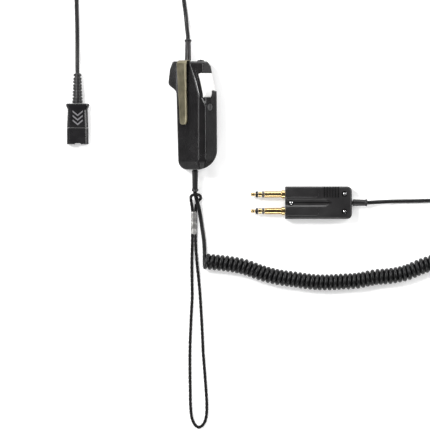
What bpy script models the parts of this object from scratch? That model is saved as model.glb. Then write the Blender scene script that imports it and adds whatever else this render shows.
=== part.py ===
"""Push-to-talk adapter lead for a control-room or cockpit headset.

A hand-held switch pod lies on its back between two cords. The headset lead runs from the pod to a
quick-release connector, and the coiled console lead runs from the pod to a twin plug. A wrist lanyard
hangs from the console lead.

Metres, +Z up. The pod, the plugs and the cords lie on the plane z = 0. The origin is under the centre of
the pod's bounding box. +Y runs along the pod towards the headset lead, and +X points to its button side.
"""

import math

import bmesh
import bpy
from mathutils import Matrix, Vector

# ---------------------------------------------------------------- driving dimensions (metres)
GAP = 0.0003                # air between neighbouring pieces
WALL = 0.0020               # moulded wall thickness
WELD = 1e-6                 # vertices closer than this are one vertex
ARC_STEPS = 3               # straight pieces in a rounded corner
OUTLINE_CHORD = 0.0026      # length of those pieces round the pod's outline

# The pod's outline from above, counter-clockwise: x, y and corner radius. The lobe on the left is the
# hook for the forefinger, and the step on the right is the end of the button's recess.
POD_OUTLINE = [
    (-0.0192, 0.0510, 0.0025), (-0.0220, 0.0430, 0.0080), (-0.02358, 0.0291, 0.0045),
    (-0.0157, 0.0226, 0.0060), (-0.0138, -0.0521, 0.0090), (0.0233, -0.0521, 0.0190),
    (0.0227, 0.0227, 0.0004), (0.0200, 0.0227, 0.0004), (0.0181, 0.0408, 0.0006),
    (0.0170, 0.0464, 0.0030), (0.0136, 0.0510, 0.0020),
]
# The pod's section from the end, counter-clockwise: x, z and corner radius. It has a flat base, a long
# sloping face on the left that carries the clip, a narrow top band, and a sloping button face on the right.
POD_SECTION = [
    (-0.0120, 0.0000, 0.0010), (0.0175, 0.0000, 0.0015), (0.0233, 0.0055, 0.0020),
    (0.0233, 0.0210, 0.0020), (0.0118, 0.0320, 0.0016), (0.0055, 0.0320, 0.0024),
    (-0.0145, 0.0155, 0.0015), (-0.0240, 0.0120, 0.0015), (-0.0240, 0.0070, 0.0020),
]
# The same section where the pod ends behind the button: the band and the button face have dropped.
POD_SECTION_END = [
    (-0.0120, 0.0000, 0.0010), (0.0175, 0.0000, 0.0015), (0.0233, 0.0055, 0.0020),
    (0.0216, 0.0108, 0.0020), (0.0064, 0.0252, 0.0016), (-0.0027, 0.0252, 0.0024),
    (-0.0145, 0.0155, 0.0015), (-0.0240, 0.0120, 0.0015), (-0.0240, 0.0070, 0.0020),
]
POD_LOW = -0.0521           # end of the pod at the console lead
POD_HIGH = 0.0510           # end of the pod at the headset lead
POD_TAPER_LOW = -0.0435     # the chamfered end starts here
POD_BEND = 0.0190           # the button face and the band start to drop here
POD_TAPER_HIGH = 0.0496
END_INSET_LOW = 0.0035
END_INSET_HIGH = 0.0012

# The seam between the two shells from above. It runs through both cord entries.
SEAM = [
    (-0.0047, 0.0620), (-0.0047, 0.0520), (-0.0034, 0.0482), (-0.0005, 0.0445), (0.0012, 0.0400),
    (0.0027, 0.0320), (0.0040, 0.0250), (0.0050, 0.0190), (0.0062, 0.0143), (0.0090, 0.0108),
    (0.0112, 0.0070), (0.0118, 0.0010), (0.0118, -0.0150), (0.0117, -0.0290), (0.0098, -0.0350),
    (0.0062, -0.0410), (0.0034, -0.0455), (0.0021, -0.0500), (0.0020, -0.0540), (0.0020, -0.0640),
]

TILT = math.atan(0.2703)    # the button face leans this much more than the face below it
BUTTON_LEFT, BUTTON_RIGHT = -0.0013, 0.0136
BUTTON_LOW, BUTTON_HIGH = -0.0020, 0.0213
BUTTON_WALL = 0.0015
POCKET_DEPTH = 0.0050
POCKET_CLEAR = 0.0004
LIP_LEFT, LIP_HIGH = 0.0084, 0.0037     # corner of the housing that stands beside the button's end
PIVOT = (0.0182, -0.0026)   # button hinge, along and out of the button face
PIN_RADIUS = 0.0008
PLUNGER_RADIUS = 0.0012
STEM_LEFT, STEM_RIGHT = 0.0032, 0.0072

BOARD_OUT = -0.0120         # outer side of the circuit board, measured from the button face
BOARD_THICK = 0.0016
BOARD_EDGES = (0.0006, 0.0124)
BOARD_ENDS = (-0.0370, 0.0300)
SWITCH_CENTRE = (0.0052, 0.0190)
TRIMMER_CENTRE = (0.0067, 0.0073)
TRIMMER_RADIUS = 0.0034

WHEEL_CENTRE = (0.0074, 0.0462)
WHEEL_RADIUS = 0.0066
WHEEL_HEIGHTS = (0.0125, 0.0165)
WHEEL_TEETH = 16
POST_PLACES = (-0.0320, -0.0040, 0.0240)
POST_HALF = 0.0030
SCREW_HEIGHT = 0.0090

ENTRY_HEIGHT = 0.0120       # both cord entries are this high
ENTRY_TOP_X = -0.0047
ENTRY_LOW_X = 0.0020
BOOT_DROOP = 8.8            # a boot drops by this times the square of its length

CLIP_THICK = 0.0008
CLIP_PIVOT = (0.0502, -0.0042)

CORD_RADIUS = 0.0019
HEADSET_CORD_RADIUS = 0.00195
COIL_RADIUS = 0.00785
LANYARD_RADIUS = 0.00135

CONNECTOR_X = -0.1097       # centre line of the headset connector
CONNECTOR_Z = 0.0050
CONNECTOR_SPLIT = -0.0124
CONNECTOR_END = -0.0280
PLUG_REAR, PLUG_FRONT = 0.1513, 0.0877
PLUG_Y = -0.0835
PLUG_HALF_WIDTH = 0.01555
PLUG_HEIGHT = 0.0150
PRONG_OFFSET = 0.0079375    # the prongs stand 5/8 inch apart
PLUG_SCREWS = ((0.1443, -0.0752), (0.1443, -0.0919), (0.0935, -0.0838))
GROOVE_FIRST, GROOVE_PITCH, GROOVE_COUNT = 0.1252, 0.00265, 6

# ---------------------------------------------------------------- cord routes (metres)
HEADSET_LEAD_ROUTE = [
    (-0.0047, 0.0726, 0.0079), (-0.0050, 0.0765, 0.0065), (-0.0056, 0.0820, 0.0047),
    (-0.0061, 0.0880, 0.0031), (-0.0068, 0.0950, 0.0022), (-0.0077, 0.1020, 0.0020),
    (-0.0087, 0.1095, 0.0020), (-0.0098, 0.1200, 0.0020), (-0.0112, 0.1330, 0.0020),
    (-0.0180, 0.1520, 0.0020), (-0.0350, 0.1710, 0.0020), (-0.0600, 0.1790, 0.0020),
    (-0.0850, 0.1705, 0.0020), (-0.1020, 0.1515, 0.0020), (-0.1092, 0.1320, 0.0020),
    (-0.1106, 0.1200, 0.0020), (-0.1108, 0.1095, 0.0020), (-0.1106, 0.0980, 0.0020),
    (-0.1102, 0.0810, 0.0020), (-0.1101, 0.0695, 0.0021), (-0.1101, 0.0600, 0.0027),
    (-0.1101, 0.0510, 0.0039), (-0.1101, 0.0450, 0.0047), (-0.1100, 0.0402, 0.0050),
]
CONSOLE_LEAD_UPPER_ROUTE = [
    (0.0020, -0.0735, 0.0080), (0.0026, -0.0768, 0.0069), (0.0035, -0.0803, 0.0059),
    (0.0047, -0.0847, 0.0049), (0.0057, -0.0890, 0.0040), (0.0067, -0.0940, 0.0030),
    (0.0075, -0.0990, 0.0023), (0.0084, -0.1045, 0.0020), (0.0095, -0.1120, 0.0020),
    (0.0104, -0.1190, 0.0020), (0.0109, -0.1255, 0.0020), (0.0111, -0.1309, 0.0020),
]
COIL_ROUTE = [
    (0.0092, -0.1390), (0.0200, -0.1401), (0.0353, -0.1418), (0.0505, -0.1450), (0.0658, -0.1505),
    (0.0810, -0.1543), (0.0962, -0.1564), (0.1115, -0.1586), (0.1267, -0.1593), (0.1419, -0.1585),
    (0.1572, -0.1576), (0.1724, -0.1545), (0.1877, -0.1532), (0.2029, -0.1502), (0.2140, -0.1455),
    (0.2258, -0.1413), (0.2400, -0.1380), (0.2560, -0.1355), (0.2700, -0.1275), (0.2775, -0.1140),
    (0.2755, -0.1000), (0.2655, -0.0915), (0.2540, -0.0890), (0.2450, -0.0890),
]
CONSOLE_LEAD_TAIL_ROUTE = [
    (0.2400, -0.0825, 0.0020), (0.2330, -0.0814, 0.0020), (0.2248, -0.0815, 0.0020),
    (0.2160, -0.0818, 0.0020), (0.2067, -0.0820, 0.0020), (0.1970, -0.0821, 0.0021),
    (0.1890, -0.0823, 0.0029), (0.1815, -0.0826, 0.0045), (0.1750, -0.0829, 0.0062),
    (0.1700, -0.0832, 0.0072), (0.1664, -0.0834, 0.0075),
]
LANYARD_LOOP_ROUTE = [
    (-0.0005, -0.1140, 0.0015), (-0.0007, -0.1240, 0.0014), (-0.0011, -0.1400, 0.0014),
    (-0.0010, -0.1560, 0.0014), (-0.0007, -0.1720, 0.0014), (-0.0016, -0.1900, 0.0014),
    (-0.0024, -0.2080, 0.0014), (-0.0029, -0.2260, 0.0014), (-0.0029, -0.2440, 0.0014),
    (-0.0026, -0.2620, 0.0014), (-0.0023, -0.2770, 0.0014), (-0.0011, -0.2880, 0.0014),
    (0.0016, -0.2945, 0.0014), (0.0055, -0.2972, 0.0014), (0.0098, -0.2946, 0.0014),
    (0.0125, -0.2880, 0.0014), (0.0132, -0.2770, 0.0014), (0.0124, -0.2620, 0.0014),
    (0.0111, -0.2440, 0.0014), (0.0097, -0.2260, 0.0014), (0.0089, -0.2080, 0.0014),
    (0.0079, -0.1900, 0.0014), (0.0068, -0.1720, 0.0014), (0.0054, -0.1560, 0.0014),
    (0.0037, -0.1400, 0.0014), (0.0027, -0.1240, 0.0014), (0.0025, -0.1140, 0.0015),
]
LANYARD_EYE_ROUTE = [
    (0.0025, -0.0914, 0.0017), (0.0028, -0.0868, 0.0015), (0.0050, -0.0822, 0.0016),
    (0.0074, -0.0792, 0.0046), (0.0066, -0.0767, 0.0088), (0.0034, -0.0755, 0.0115),
    (0.0004, -0.0759, 0.0112), (-0.0017, -0.0775, 0.0086), (-0.0019, -0.0806, 0.0060),
    (-0.0010, -0.0862, 0.0032), (-0.0005, -0.0914, 0.0017),
]
FERRULE = {"x": 0.0010, "y": (-0.1135, -0.0918), "half_width": 0.0027, "heights": (0.0, 0.0035)}

# ---------------------------------------------------------------- finishes: colour, roughness, metallic
FINISHES = {
    "black_plastic": ((0.035, 0.035, 0.037), 0.38, 0.0),
    "white_plastic": ((0.86, 0.86, 0.85), 0.35, 0.0),
    "black_rubber": ((0.030, 0.030, 0.031), 0.55, 0.0),
    "cord_jacket": ((0.040, 0.040, 0.041), 0.45, 0.0),
    "braid": ((0.015, 0.014, 0.015), 0.85, 0.0),
    "clip_steel": ((0.42, 0.38, 0.30), 0.36, 1.0),
    "screw_steel": ((0.72, 0.72, 0.73), 0.25, 1.0),
    "ferrule_metal": ((0.55, 0.55, 0.54), 0.38, 1.0),
    "gold_plate": ((0.83, 0.62, 0.27), 0.22, 1.0),
    "insulator": ((0.020, 0.020, 0.021), 0.30, 0.0),
    "board_green": ((0.03, 0.16, 0.07), 0.50, 0.0),
    "grey_plastic": ((0.20, 0.20, 0.21), 0.45, 0.0),
}


# ---------------------------------------------------------------- helpers: frames and outlines
def frame_matrix(origin, across, along):
    """A right-handed frame from its origin, X direction and Y direction."""
    across, along = Vector(across).normalized(), Vector(along).normalized()
    out = across.cross(along)
    matrix = Matrix((across, along, out)).transposed().to_4x4()
    matrix.translation = Vector(origin)
    return matrix


def section_point(index):
    x, z, _ = POD_SECTION[index]
    return Vector((x, 0.0, z))


ALONG = Vector((0.0, 1.0, 0.0))
# X runs across the button face from the top band to the side, Y along the pod, and Z out of the face.
FACE = frame_matrix(section_point(4), section_point(3) - section_point(4), ALONG)
BUTTON = Matrix.Translation((0.0, POD_BEND, 0.0)) @ FACE @ Matrix.Rotation(-TILT, 4, "X")
# X runs up the clip face from the hook to the top band, Y along the pod, and Z out of the face.
CLIP = frame_matrix(section_point(6), section_point(5) - section_point(6), ALONG)
# X and Y of the section seen from the end, with Z pointing back along -Y.
SECTION = frame_matrix((0.0, 0.0, 0.0), (1.0, 0.0, 0.0), (0.0, 0.0, 1.0))
WORLD = Matrix.Identity(4)


def side_frame(frame):
    """The same place with X along the frame's Y and Y out of the face, for a profile seen from the side."""
    turn = Matrix(((0, 0, 1, 0), (1, 0, 0, 0), (0, 1, 0, 0), (0, 0, 0, 1)))
    return frame @ turn


def axis_frame(origin, direction):
    """A frame whose Z runs along a direction, for turned parts."""
    rotation = Vector((0.0, 0.0, 1.0)).rotation_difference(Vector(direction)).to_matrix().to_4x4()
    return Matrix.Translation(Vector(origin)) @ rotation


def rounded(corners, steps=ARC_STEPS, chord=None):
    """Outline points from (x, y, radius) corners, with an arc of a few steps at each corner.

    With a chord, each arc has as many steps as keep its straight pieces about that long.
    """
    points = []
    for index, (x, y, radius) in enumerate(corners):
        corner = Vector((x, y))
        before = (Vector(corners[index - 1][:2]) - corner).normalized()
        after = (Vector(corners[(index + 1) % len(corners)][:2]) - corner).normalized()
        half = before.angle(after) / 2
        centre = corner + (before + after).normalized() * radius / math.sin(half)
        reach = radius / math.tan(half)
        start, end = corner + before * reach - centre, corner + after * reach - centre
        first = math.atan2(start.y, start.x)
        turn = (math.atan2(end.y, end.x) - first + math.pi) % math.tau - math.pi
        count = max(1, round(abs(turn) * radius / chord)) if chord else steps
        for step in range(count + 1):
            angle = first + turn * step / count
            points.append((centre.x + radius * math.cos(angle), centre.y + radius * math.sin(angle)))
    return points


def inset(corners, distance):
    """The corners of a counter-clockwise outline moved inwards, with their radii to match."""
    moved = []
    for index, (x, y, radius) in enumerate(corners):
        corner = Vector((x, y))
        arrive = (corner - Vector(corners[index - 1][:2])).normalized()
        leave = (Vector(corners[(index + 1) % len(corners)][:2]) - corner).normalized()
        inward = Vector((-arrive.y - leave.y, arrive.x + leave.x)) / (1 + arrive.dot(leave))
        bend = math.copysign(1.0, arrive.cross(leave))
        spot = corner + inward * distance
        moved.append((spot.x, spot.y, max(radius - bend * distance, 0.0003)))
    return moved


def mix(first, second, share):
    """Corners part of the way from one outline to another."""
    return [tuple(a + (b - a) * share for a, b in zip(p, q)) for p, q in zip(first, second)]


def smooth(points, spacing):
    """Points read every spacing or so along a Catmull-Rom curve through the given points."""
    knots = [Vector(point) for point in points]
    knots = [2 * knots[0] - knots[1]] + knots + [2 * knots[-1] - knots[-2]]
    result = []
    for a, b, c, d in zip(knots, knots[1:], knots[2:], knots[3:]):
        count = max(1, round((c - b).length / spacing))
        for step in range(count):
            t = step / count
            result.append(b + (c - a) * t / 2 + (2 * a - 5 * b + 4 * c - d) * t * t / 2
                          + (3 * b - a - 3 * c + d) * t ** 3 / 2)
    return result + [knots[-2]]


# ---------------------------------------------------------------- helpers: solids
def add(name, mesh, frame=WORLD):
    item = bpy.data.objects.new(name, mesh)
    parts.objects.link(item)
    item.matrix_world = frame
    return item


def from_bmesh(name, shape, frame):
    mesh = bpy.data.meshes.new(name)
    bmesh.ops.recalc_face_normals(shape, faces=shape.faces)
    shape.to_mesh(mesh)
    shape.free()
    return add(name, mesh, frame)


def evaluated_mesh(item):
    bpy.context.view_layer.update()
    return bpy.data.meshes.new_from_object(item.evaluated_get(bpy.context.evaluated_depsgraph_get()))


def to_mesh(item):
    """A curve or an object with modifiers as one plain, welded mesh object of the same name."""
    name, frame, mesh = item.name, item.matrix_world.copy(), evaluated_mesh(item)
    bpy.data.objects.remove(item)
    shape = bmesh.new()
    shape.from_mesh(mesh)
    bmesh.ops.remove_doubles(shape, verts=shape.verts, dist=WELD)
    shape.to_mesh(mesh)
    shape.free()
    return add(name, mesh, frame)


def box(name, low, high, frame=WORLD):
    low, high = Vector(low), Vector(high)
    shape = bmesh.new()
    bmesh.ops.create_cube(shape, size=1.0)
    bmesh.ops.scale(shape, vec=high - low, verts=shape.verts)
    bmesh.ops.translate(shape, vec=(low + high) / 2, verts=shape.verts)
    return from_bmesh(name, shape, frame)


def cylinder(name, radius, low, high, frame=WORLD, sides=20, centre=(0.0, 0.0)):
    """A cylinder along the frame's Z, from low to high."""
    shape = bmesh.new()
    place = Matrix.Translation((centre[0], centre[1], (low + high) / 2))
    bmesh.ops.create_cone(shape, cap_ends=True, segments=sides, radius1=radius, radius2=radius,
                          depth=high - low, matrix=place)
    return from_bmesh(name, shape, frame)


def plate(name, outline, low, high, frame=WORLD):
    """A flat outline in the frame's XY plane, given thickness from low to high along its Z."""
    curve = bpy.data.curves.new(name, "CURVE")
    curve.dimensions, curve.fill_mode = "2D", "BOTH"
    curve.extrude = (high - low) / 2
    spline = curve.splines.new("POLY")
    spline.points.add(len(outline) - 1)
    for point, (x, y) in zip(spline.points, outline):
        point.co = (x, y, 0.0, 1.0)
    spline.use_cyclic_u = True
    return to_mesh(add(name, curve, frame @ Matrix.Translation((0.0, 0.0, (low + high) / 2))))


def turned(name, profile, frame=WORLD, sides=20, bored=False):
    """A turned part about the frame's Z. The profile's (radius, z) points run down its outer side."""
    mesh = bpy.data.meshes.new(name)
    count = len(profile)
    edges = [(index, (index + 1) % count) for index in range(count if bored else count - 1)]
    mesh.from_pydata([(radius, 0.0, z) for radius, z in profile], edges, [])
    item = add(name, mesh, frame)
    screw = item.modifiers.new("Turn", "SCREW")
    screw.steps = screw.render_steps = sides
    screw.use_merge_vertices, screw.merge_threshold = True, WELD
    item = to_mesh(item)
    shape = bmesh.new()
    shape.from_mesh(item.data)
    bmesh.ops.recalc_face_normals(shape, faces=shape.faces)
    shape.to_mesh(item.data)
    shape.free()
    return item


def loft(name, rings, frame=WORLD):
    """A closed solid through rings of points, each ring with the same number of points."""
    shape = bmesh.new()
    loops = [[shape.verts.new(point) for point in ring] for ring in rings]
    for lower, upper in zip(loops, loops[1:]):
        for index in range(len(lower)):
            following = (index + 1) % len(lower)
            shape.faces.new((lower[index], lower[following], upper[following], upper[index]))
    shape.faces.new(loops[0])
    shape.faces.new(loops[-1])
    return from_bmesh(name, shape, frame)


def tube(name, points, radii, resolution=2):
    """A round tube on a poly spline. Radii is one number, or one for each point."""
    curve = bpy.data.curves.new(name, "CURVE")
    curve.dimensions, curve.twist_mode = "3D", "MINIMUM"
    curve.bevel_depth, curve.bevel_resolution, curve.use_fill_caps = 1.0, resolution, True
    spline = curve.splines.new("POLY")
    spline.points.add(len(points) - 1)
    widths = radii if isinstance(radii, list) else [radii] * len(points)
    for knot, point, width in zip(spline.points, points, widths):
        knot.co = (*point, 1.0)
        knot.radius = width
    return add(name, curve)


def combine(item, tool, operation):
    """Join, cut or intersect the item with a tool, which is used up."""
    modifier = item.modifiers.new(operation.title(), "BOOLEAN")
    modifier.operation, modifier.solver, modifier.object = operation, "EXACT", tool
    mesh = evaluated_mesh(item)
    item.modifiers.clear()
    item.data = mesh
    bpy.data.objects.remove(tool)
    return item


def join(item, *tools):
    for tool in tools:
        combine(item, tool, "UNION")
    return item


def cut(item, *tools):
    for tool in tools:
        combine(item, tool, "DIFFERENCE")
    return item


def copy(item, name):
    twin = item.copy()
    twin.data = item.data.copy()
    twin.name = name
    parts.objects.link(twin)
    return twin


def finish(item, finish_name, parent, origin=None):
    """Give a part its finish and parent, and its origin on a joint's axis if it moves."""
    colour, roughness, metallic = FINISHES[finish_name]
    material = bpy.data.materials.get(finish_name) or bpy.data.materials.new(finish_name)
    material.use_nodes = True
    shader = material.node_tree.nodes["Principled BSDF"]
    shader.inputs["Base Color"].default_value = (*colour, 1.0)
    shader.inputs["Roughness"].default_value = roughness
    shader.inputs["Metallic"].default_value = metallic
    item.data.materials.clear()
    item.data.materials.append(material)
    if origin is not None:
        shift = Matrix.Translation(item.matrix_world.inverted() @ Vector(origin))
        item.data.transform(shift.inverted())
        item.matrix_world = item.matrix_world @ shift
    item.parent = parent
    item.matrix_parent_inverse = parent.matrix_world.inverted()
    return item


def group(name, place):
    empty = bpy.data.objects.new(name, None)
    parts.objects.link(empty)
    empty.location = place
    bpy.context.view_layer.update()
    return empty


# ---------------------------------------------------------------- the pod's shells
def pod_solid(name, distance):
    """The pod's outer form, or the same form moved inwards by a distance."""
    top = mix(POD_SECTION, POD_SECTION_END, (POD_TAPER_HIGH - POD_BEND) / (POD_HIGH - POD_BEND))
    stations = [
        (POD_LOW + distance, POD_SECTION, END_INSET_LOW), (POD_TAPER_LOW, POD_SECTION, 0.0),
        (POD_BEND, POD_SECTION, 0.0), (POD_TAPER_HIGH - distance, top, 0.0),
        (POD_HIGH - distance, POD_SECTION_END, END_INSET_HIGH),
    ]
    rings = [[(x, y, z) for x, z in rounded(inset(section, distance + extra))]
             for y, section, extra in stations]
    solid = loft(name, rings)
    walls = plate(name + "_walls", rounded(inset(POD_OUTLINE, distance), chord=OUTLINE_CHORD),
                  -0.005, 0.045)
    return combine(solid, walls, "INTERSECT")


def board_side(x):
    """Height at x of the plane that the circuit board's inner side lies on, less the gap."""
    across, out = FACE.col[0].xyz, FACE.col[2].xyz
    start = FACE.translation + out * (BOARD_OUT - BOARD_THICK - GAP)
    return start.z + (x - start.x) * across.z / across.x


def seam_region(name, side):
    """Everything on one side of the seam: -1 for the back shell, 1 for the front shell."""
    line = [(point.x + side * GAP * 0.7, point.y) for point in smooth([(*p, 0.0) for p in SEAM], 0.0035)]
    far = side * 0.060
    return plate(name, [(far, line[0][1])] + line + [(far, line[-1][1])], -0.010, 0.050)


def pod_shells(parent):
    shell = pod_solid("back_shell", 0.0)
    tray_low = (BUTTON_LEFT - 0.0024, BUTTON_LOW - 0.0024, -POCKET_DEPTH - 0.0018)
    tray = box("tray", tray_low, (0.0300, BUTTON_HIGH + 0.0022, 0.0100), BUTTON)
    combine(tray, copy(shell, "trim"), "INTERSECT")
    cut(shell, pod_solid("cavity", WALL))
    join(shell, tray)

    # Posts carry the circuit board on their sloping tops, and the housing screws run through them.
    for y in POST_PLACES:
        profile = [(0.0025, 0.0010), (0.0222, 0.0010), (0.0222, 0.0122), (0.0122, 0.0122),
                   (0.0025, board_side(0.0025))]
        post = plate("post", profile, -POST_HALF - y, POST_HALF - y, SECTION)
        combine(post, pod_solid("trim", 0.0010), "INTERSECT")
        join(shell, post)
    join(shell, box("pot_seat", (0.0030, 0.0415, 0.0010), (0.0110, 0.0480, 0.0062)))

    # The button's recess, open to the side, with a window for the switch plunger.
    pocket_outline = [
        (BUTTON_LEFT - POCKET_CLEAR, BUTTON_LOW - POCKET_CLEAR), (LIP_LEFT, BUTTON_LOW - POCKET_CLEAR),
        (LIP_LEFT, LIP_HIGH), (0.0400, LIP_HIGH), (0.0400, BUTTON_HIGH + POCKET_CLEAR),
        (BUTTON_LEFT - POCKET_CLEAR, BUTTON_HIGH + POCKET_CLEAR),
    ]
    cut(shell, plate("pocket", pocket_outline, -POCKET_DEPTH, 0.0200, BUTTON),
        box("window", (STEM_LEFT - 0.0008, -0.0013, -0.0100), (STEM_RIGHT + 0.0008, 0.0043, 0.0), BUTTON))
    for left in (0.0020, 0.0090):
        low = (left, PIVOT[0] - 0.0016, -POCKET_DEPTH - 0.0008)
        ear = box("ear", low, (left + 0.0015, PIVOT[0] + 0.0014, PIVOT[1] + 0.0014), BUTTON)
        join(shell, ear)
    cross = side_frame(BUTTON)
    cut(shell, cylinder("pin_bore", PIN_RADIUS + GAP, 0.0005, 0.0115, cross, 16, PIVOT))

    # Trimmer hole, thumbwheel slot, clip slot and the two cord entries.
    cut(shell,
        cylinder("trimmer_hole", TRIMMER_RADIUS + GAP, -0.0045, 0.0050, FACE, 24, TRIMMER_CENTRE),
        cylinder("wheel_slot", WHEEL_RADIUS + 0.0004, WHEEL_HEIGHTS[0] - 0.0004,
                 WHEEL_HEIGHTS[1] + 0.0004, WORLD, 32, WHEEL_CENTRE),
        box("clip_slot", (0.0035, 0.0470, -0.0054), (0.0125, 0.0530, -0.0030), CLIP))
    for x, y in ((ENTRY_TOP_X, 0.0500), (ENTRY_LOW_X, -0.0510)):
        cut(shell, cylinder("entry", 0.0028, -0.0060, 0.0060, axis_frame((x, y, ENTRY_HEIGHT), ALONG)))
    for y in POST_PLACES:
        bore = axis_frame((0.0, y, SCREW_HEIGHT), (1.0, 0.0, 0.0))
        cut(shell, cylinder("pilot", 0.00125, 0.0045, 0.0240, bore, 16),
            cylinder("counterbore", 0.0024, 0.0177, 0.0300, bore, 20))

    front = copy(shell, "front_shell")
    combine(shell, seam_region("left_side", -1), "INTERSECT")
    combine(front, seam_region("right_side", 1), "INTERSECT")
    finish(shell, "black_plastic", parent)
    finish(front, "black_plastic", parent)


# ---------------------------------------------------------------- what is in and on the pod
def push_button(parent):
    """The paddle: crowned, hollow underneath, thick and sloped at its free end, with a stem."""
    across = [(-0.0013, -0.0060), (0.0136, -0.0060), (0.0136, 0.0003), (0.0124, 0.0016),
              (0.0098, 0.0020), (0.0034, 0.0020), (0.0008, 0.0013), (-0.0008, 0.0001),
              (-0.0013, -0.0010)]
    lengthways = [(BUTTON_LOW, -0.0025), (BUTTON_HIGH, -0.0043), (BUTTON_HIGH, 0.0002),
                  (BUTTON_HIGH - 0.0010, 0.0011), (0.0140, 0.0017), (0.0042, 0.0018), (0.0012, 0.0009),
                  (-0.0012, -0.0006), (BUTTON_LOW, -0.0016)]
    end_view = BUTTON @ Matrix.Rotation(math.radians(90), 4, "X")
    button = plate("ptt_button", across, -0.0300, 0.0100, end_view)
    combine(button, plate("side_form", lengthways, -0.0100, 0.0300, side_frame(BUTTON)), "INTERSECT")
    hollow = box("hollow", (BUTTON_LEFT + BUTTON_WALL, 0.0030, -0.0100),
                 (BUTTON_RIGHT - BUTTON_WALL, BUTTON_HIGH - 0.0013, 0.0003), BUTTON)
    notch = box("notch", (LIP_LEFT - POCKET_CLEAR, -0.0060, -0.0100),
                (0.0200, LIP_HIGH + POCKET_CLEAR, 0.0100), BUTTON)
    cut(button, hollow, notch)
    join(button, box("stem", (STEM_LEFT, -0.0003, -0.0043), (STEM_RIGHT, 0.0028, -0.0012), BUTTON))
    cut(button, cylinder("pin_bore", PIN_RADIUS + GAP, BUTTON_LEFT + 0.0004, BUTTON_RIGHT - 0.0004,
                         side_frame(BUTTON), 16, PIVOT))
    pivot = BUTTON @ Vector((0.0, *PIVOT))
    finish(button, "white_plastic", parent, pivot)

    pin = cylinder("button_pivot_pin", PIN_RADIUS, BUTTON_LEFT + 0.0008, BUTTON_RIGHT - 0.0008,
                   side_frame(BUTTON), 16, PIVOT)
    finish(pin, "screw_steel", parent)


def return_spring(parent):
    """Torsion spring round the pivot pin, with one leg on the recess floor and one under the button."""
    radius, wire, turns, per_turn = 0.0015, 0.00022, 5, 10
    left, right = 0.0042, 0.0082
    points = [(left, PIVOT[0] - 0.0062, -POCKET_DEPTH + 0.0006)]
    for step in range(turns * per_turn + 1):
        angle = -math.pi / 2 - math.tau * step / per_turn
        points.append((left + (right - left) * step / (turns * per_turn),
                       PIVOT[0] + radius * math.cos(angle), PIVOT[1] + radius * math.sin(angle)))
    points.append((right + 0.0002, PIVOT[0] - 0.0060, PIVOT[1] - radius + 0.0012))
    finish(tube("button_return_spring", [BUTTON @ Vector(point) for point in points], wire, 1),
           "screw_steel", parent)


def switch_and_board(parent):
    low = (BOARD_EDGES[0], BOARD_ENDS[0], BOARD_OUT - BOARD_THICK)
    finish(box("circuit_board", low, (BOARD_EDGES[1], BOARD_ENDS[1], BOARD_OUT), FACE),
           "board_green", parent)
    seat = BOARD_OUT + GAP
    u, v = SWITCH_CENTRE
    switch = box("microswitch_body", (u - 0.0031, v - 0.0030, seat), (u + 0.0031, v + 0.0030, -0.0084), FACE)
    cut(switch, cylinder("plunger_hole", PLUNGER_RADIUS + GAP, seat + 0.0006, 0.0, FACE, 16, (u, v)))
    finish(switch, "grey_plastic", parent)
    plunger = cylinder("microswitch_plunger", PLUNGER_RADIUS, -0.0092, -0.0052, FACE, 16, (u, v))
    finish(plunger, "white_plastic", parent, FACE @ Vector((u, v, -0.0092)))

    u, v = TRIMMER_CENTRE
    finish(box("trimmer_body", (u - 0.0033, v - 0.0033, seat), (u + 0.0033, v + 0.0033, -0.0062), FACE),
           "grey_plastic", parent)
    rotor = cylinder("gain_trimmer", TRIMMER_RADIUS, -0.0022, -0.0003, FACE, 28, (u, v))
    join(rotor, cylinder("rotor_shaft", 0.0012, -0.0059, -0.0015, FACE, 14, (u, v)))
    cut(rotor, box("slot", (u - 0.0005, v - 0.0026, -0.0013), (u + 0.0005, v + 0.0026, 0.0010), FACE))
    finish(rotor, "black_plastic", parent, FACE @ Vector((u, v, 0.0)))

    for name, low, high in (
            ("headset_lead_header", (0.0020, -0.0035), (0.0110, 0.0015)),
            ("console_lead_header", (0.0020, -0.0365), (0.0110, -0.0315)),
            ("microphone_amplifier", (0.0035, -0.0140), (0.0095, -0.0080))):
        thick = 0.0018 if name == "microphone_amplifier" else 0.0045
        finish(box(name, (*low, seat), (*high, seat + thick), FACE), "grey_plastic", parent)
    capacitor = cylinder("coupling_capacitor", 0.0025, seat, seat + 0.0052, FACE, 16, (0.0065, -0.0215))
    finish(capacitor, "grey_plastic", parent)


def volume_control(parent):
    x, y = WHEEL_CENTRE
    low, high = WHEEL_HEIGHTS
    teeth = [math.tau * step / (4 * WHEEL_TEETH) for step in range(4 * WHEEL_TEETH)]
    rim = [WHEEL_RADIUS - (0.0004 if step % 4 > 1 else 0.0) for step in range(4 * WHEEL_TEETH)]
    outline = [(x + radius * math.sin(angle), y + radius * math.cos(angle))
               for radius, angle in zip(rim, teeth)]
    wheel = plate("volume_thumbwheel", outline, low, high)
    cut(wheel, cylinder("hub", 0.0015, 0.0, 0.0300, WORLD, 16, WHEEL_CENTRE))
    finish(wheel, "black_plastic", parent, (x, y, low))
    pot = box("volume_pot", (x - 0.0040, 0.0418, 0.0062 + GAP), (x + 0.0040, 0.0482, low - GAP))
    join(pot, cylinder("pot_shaft", 0.0011, low - 0.0020, high - 0.0004, WORLD, 16, WHEEL_CENTRE))
    finish(pot, "grey_plastic", parent)


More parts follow.
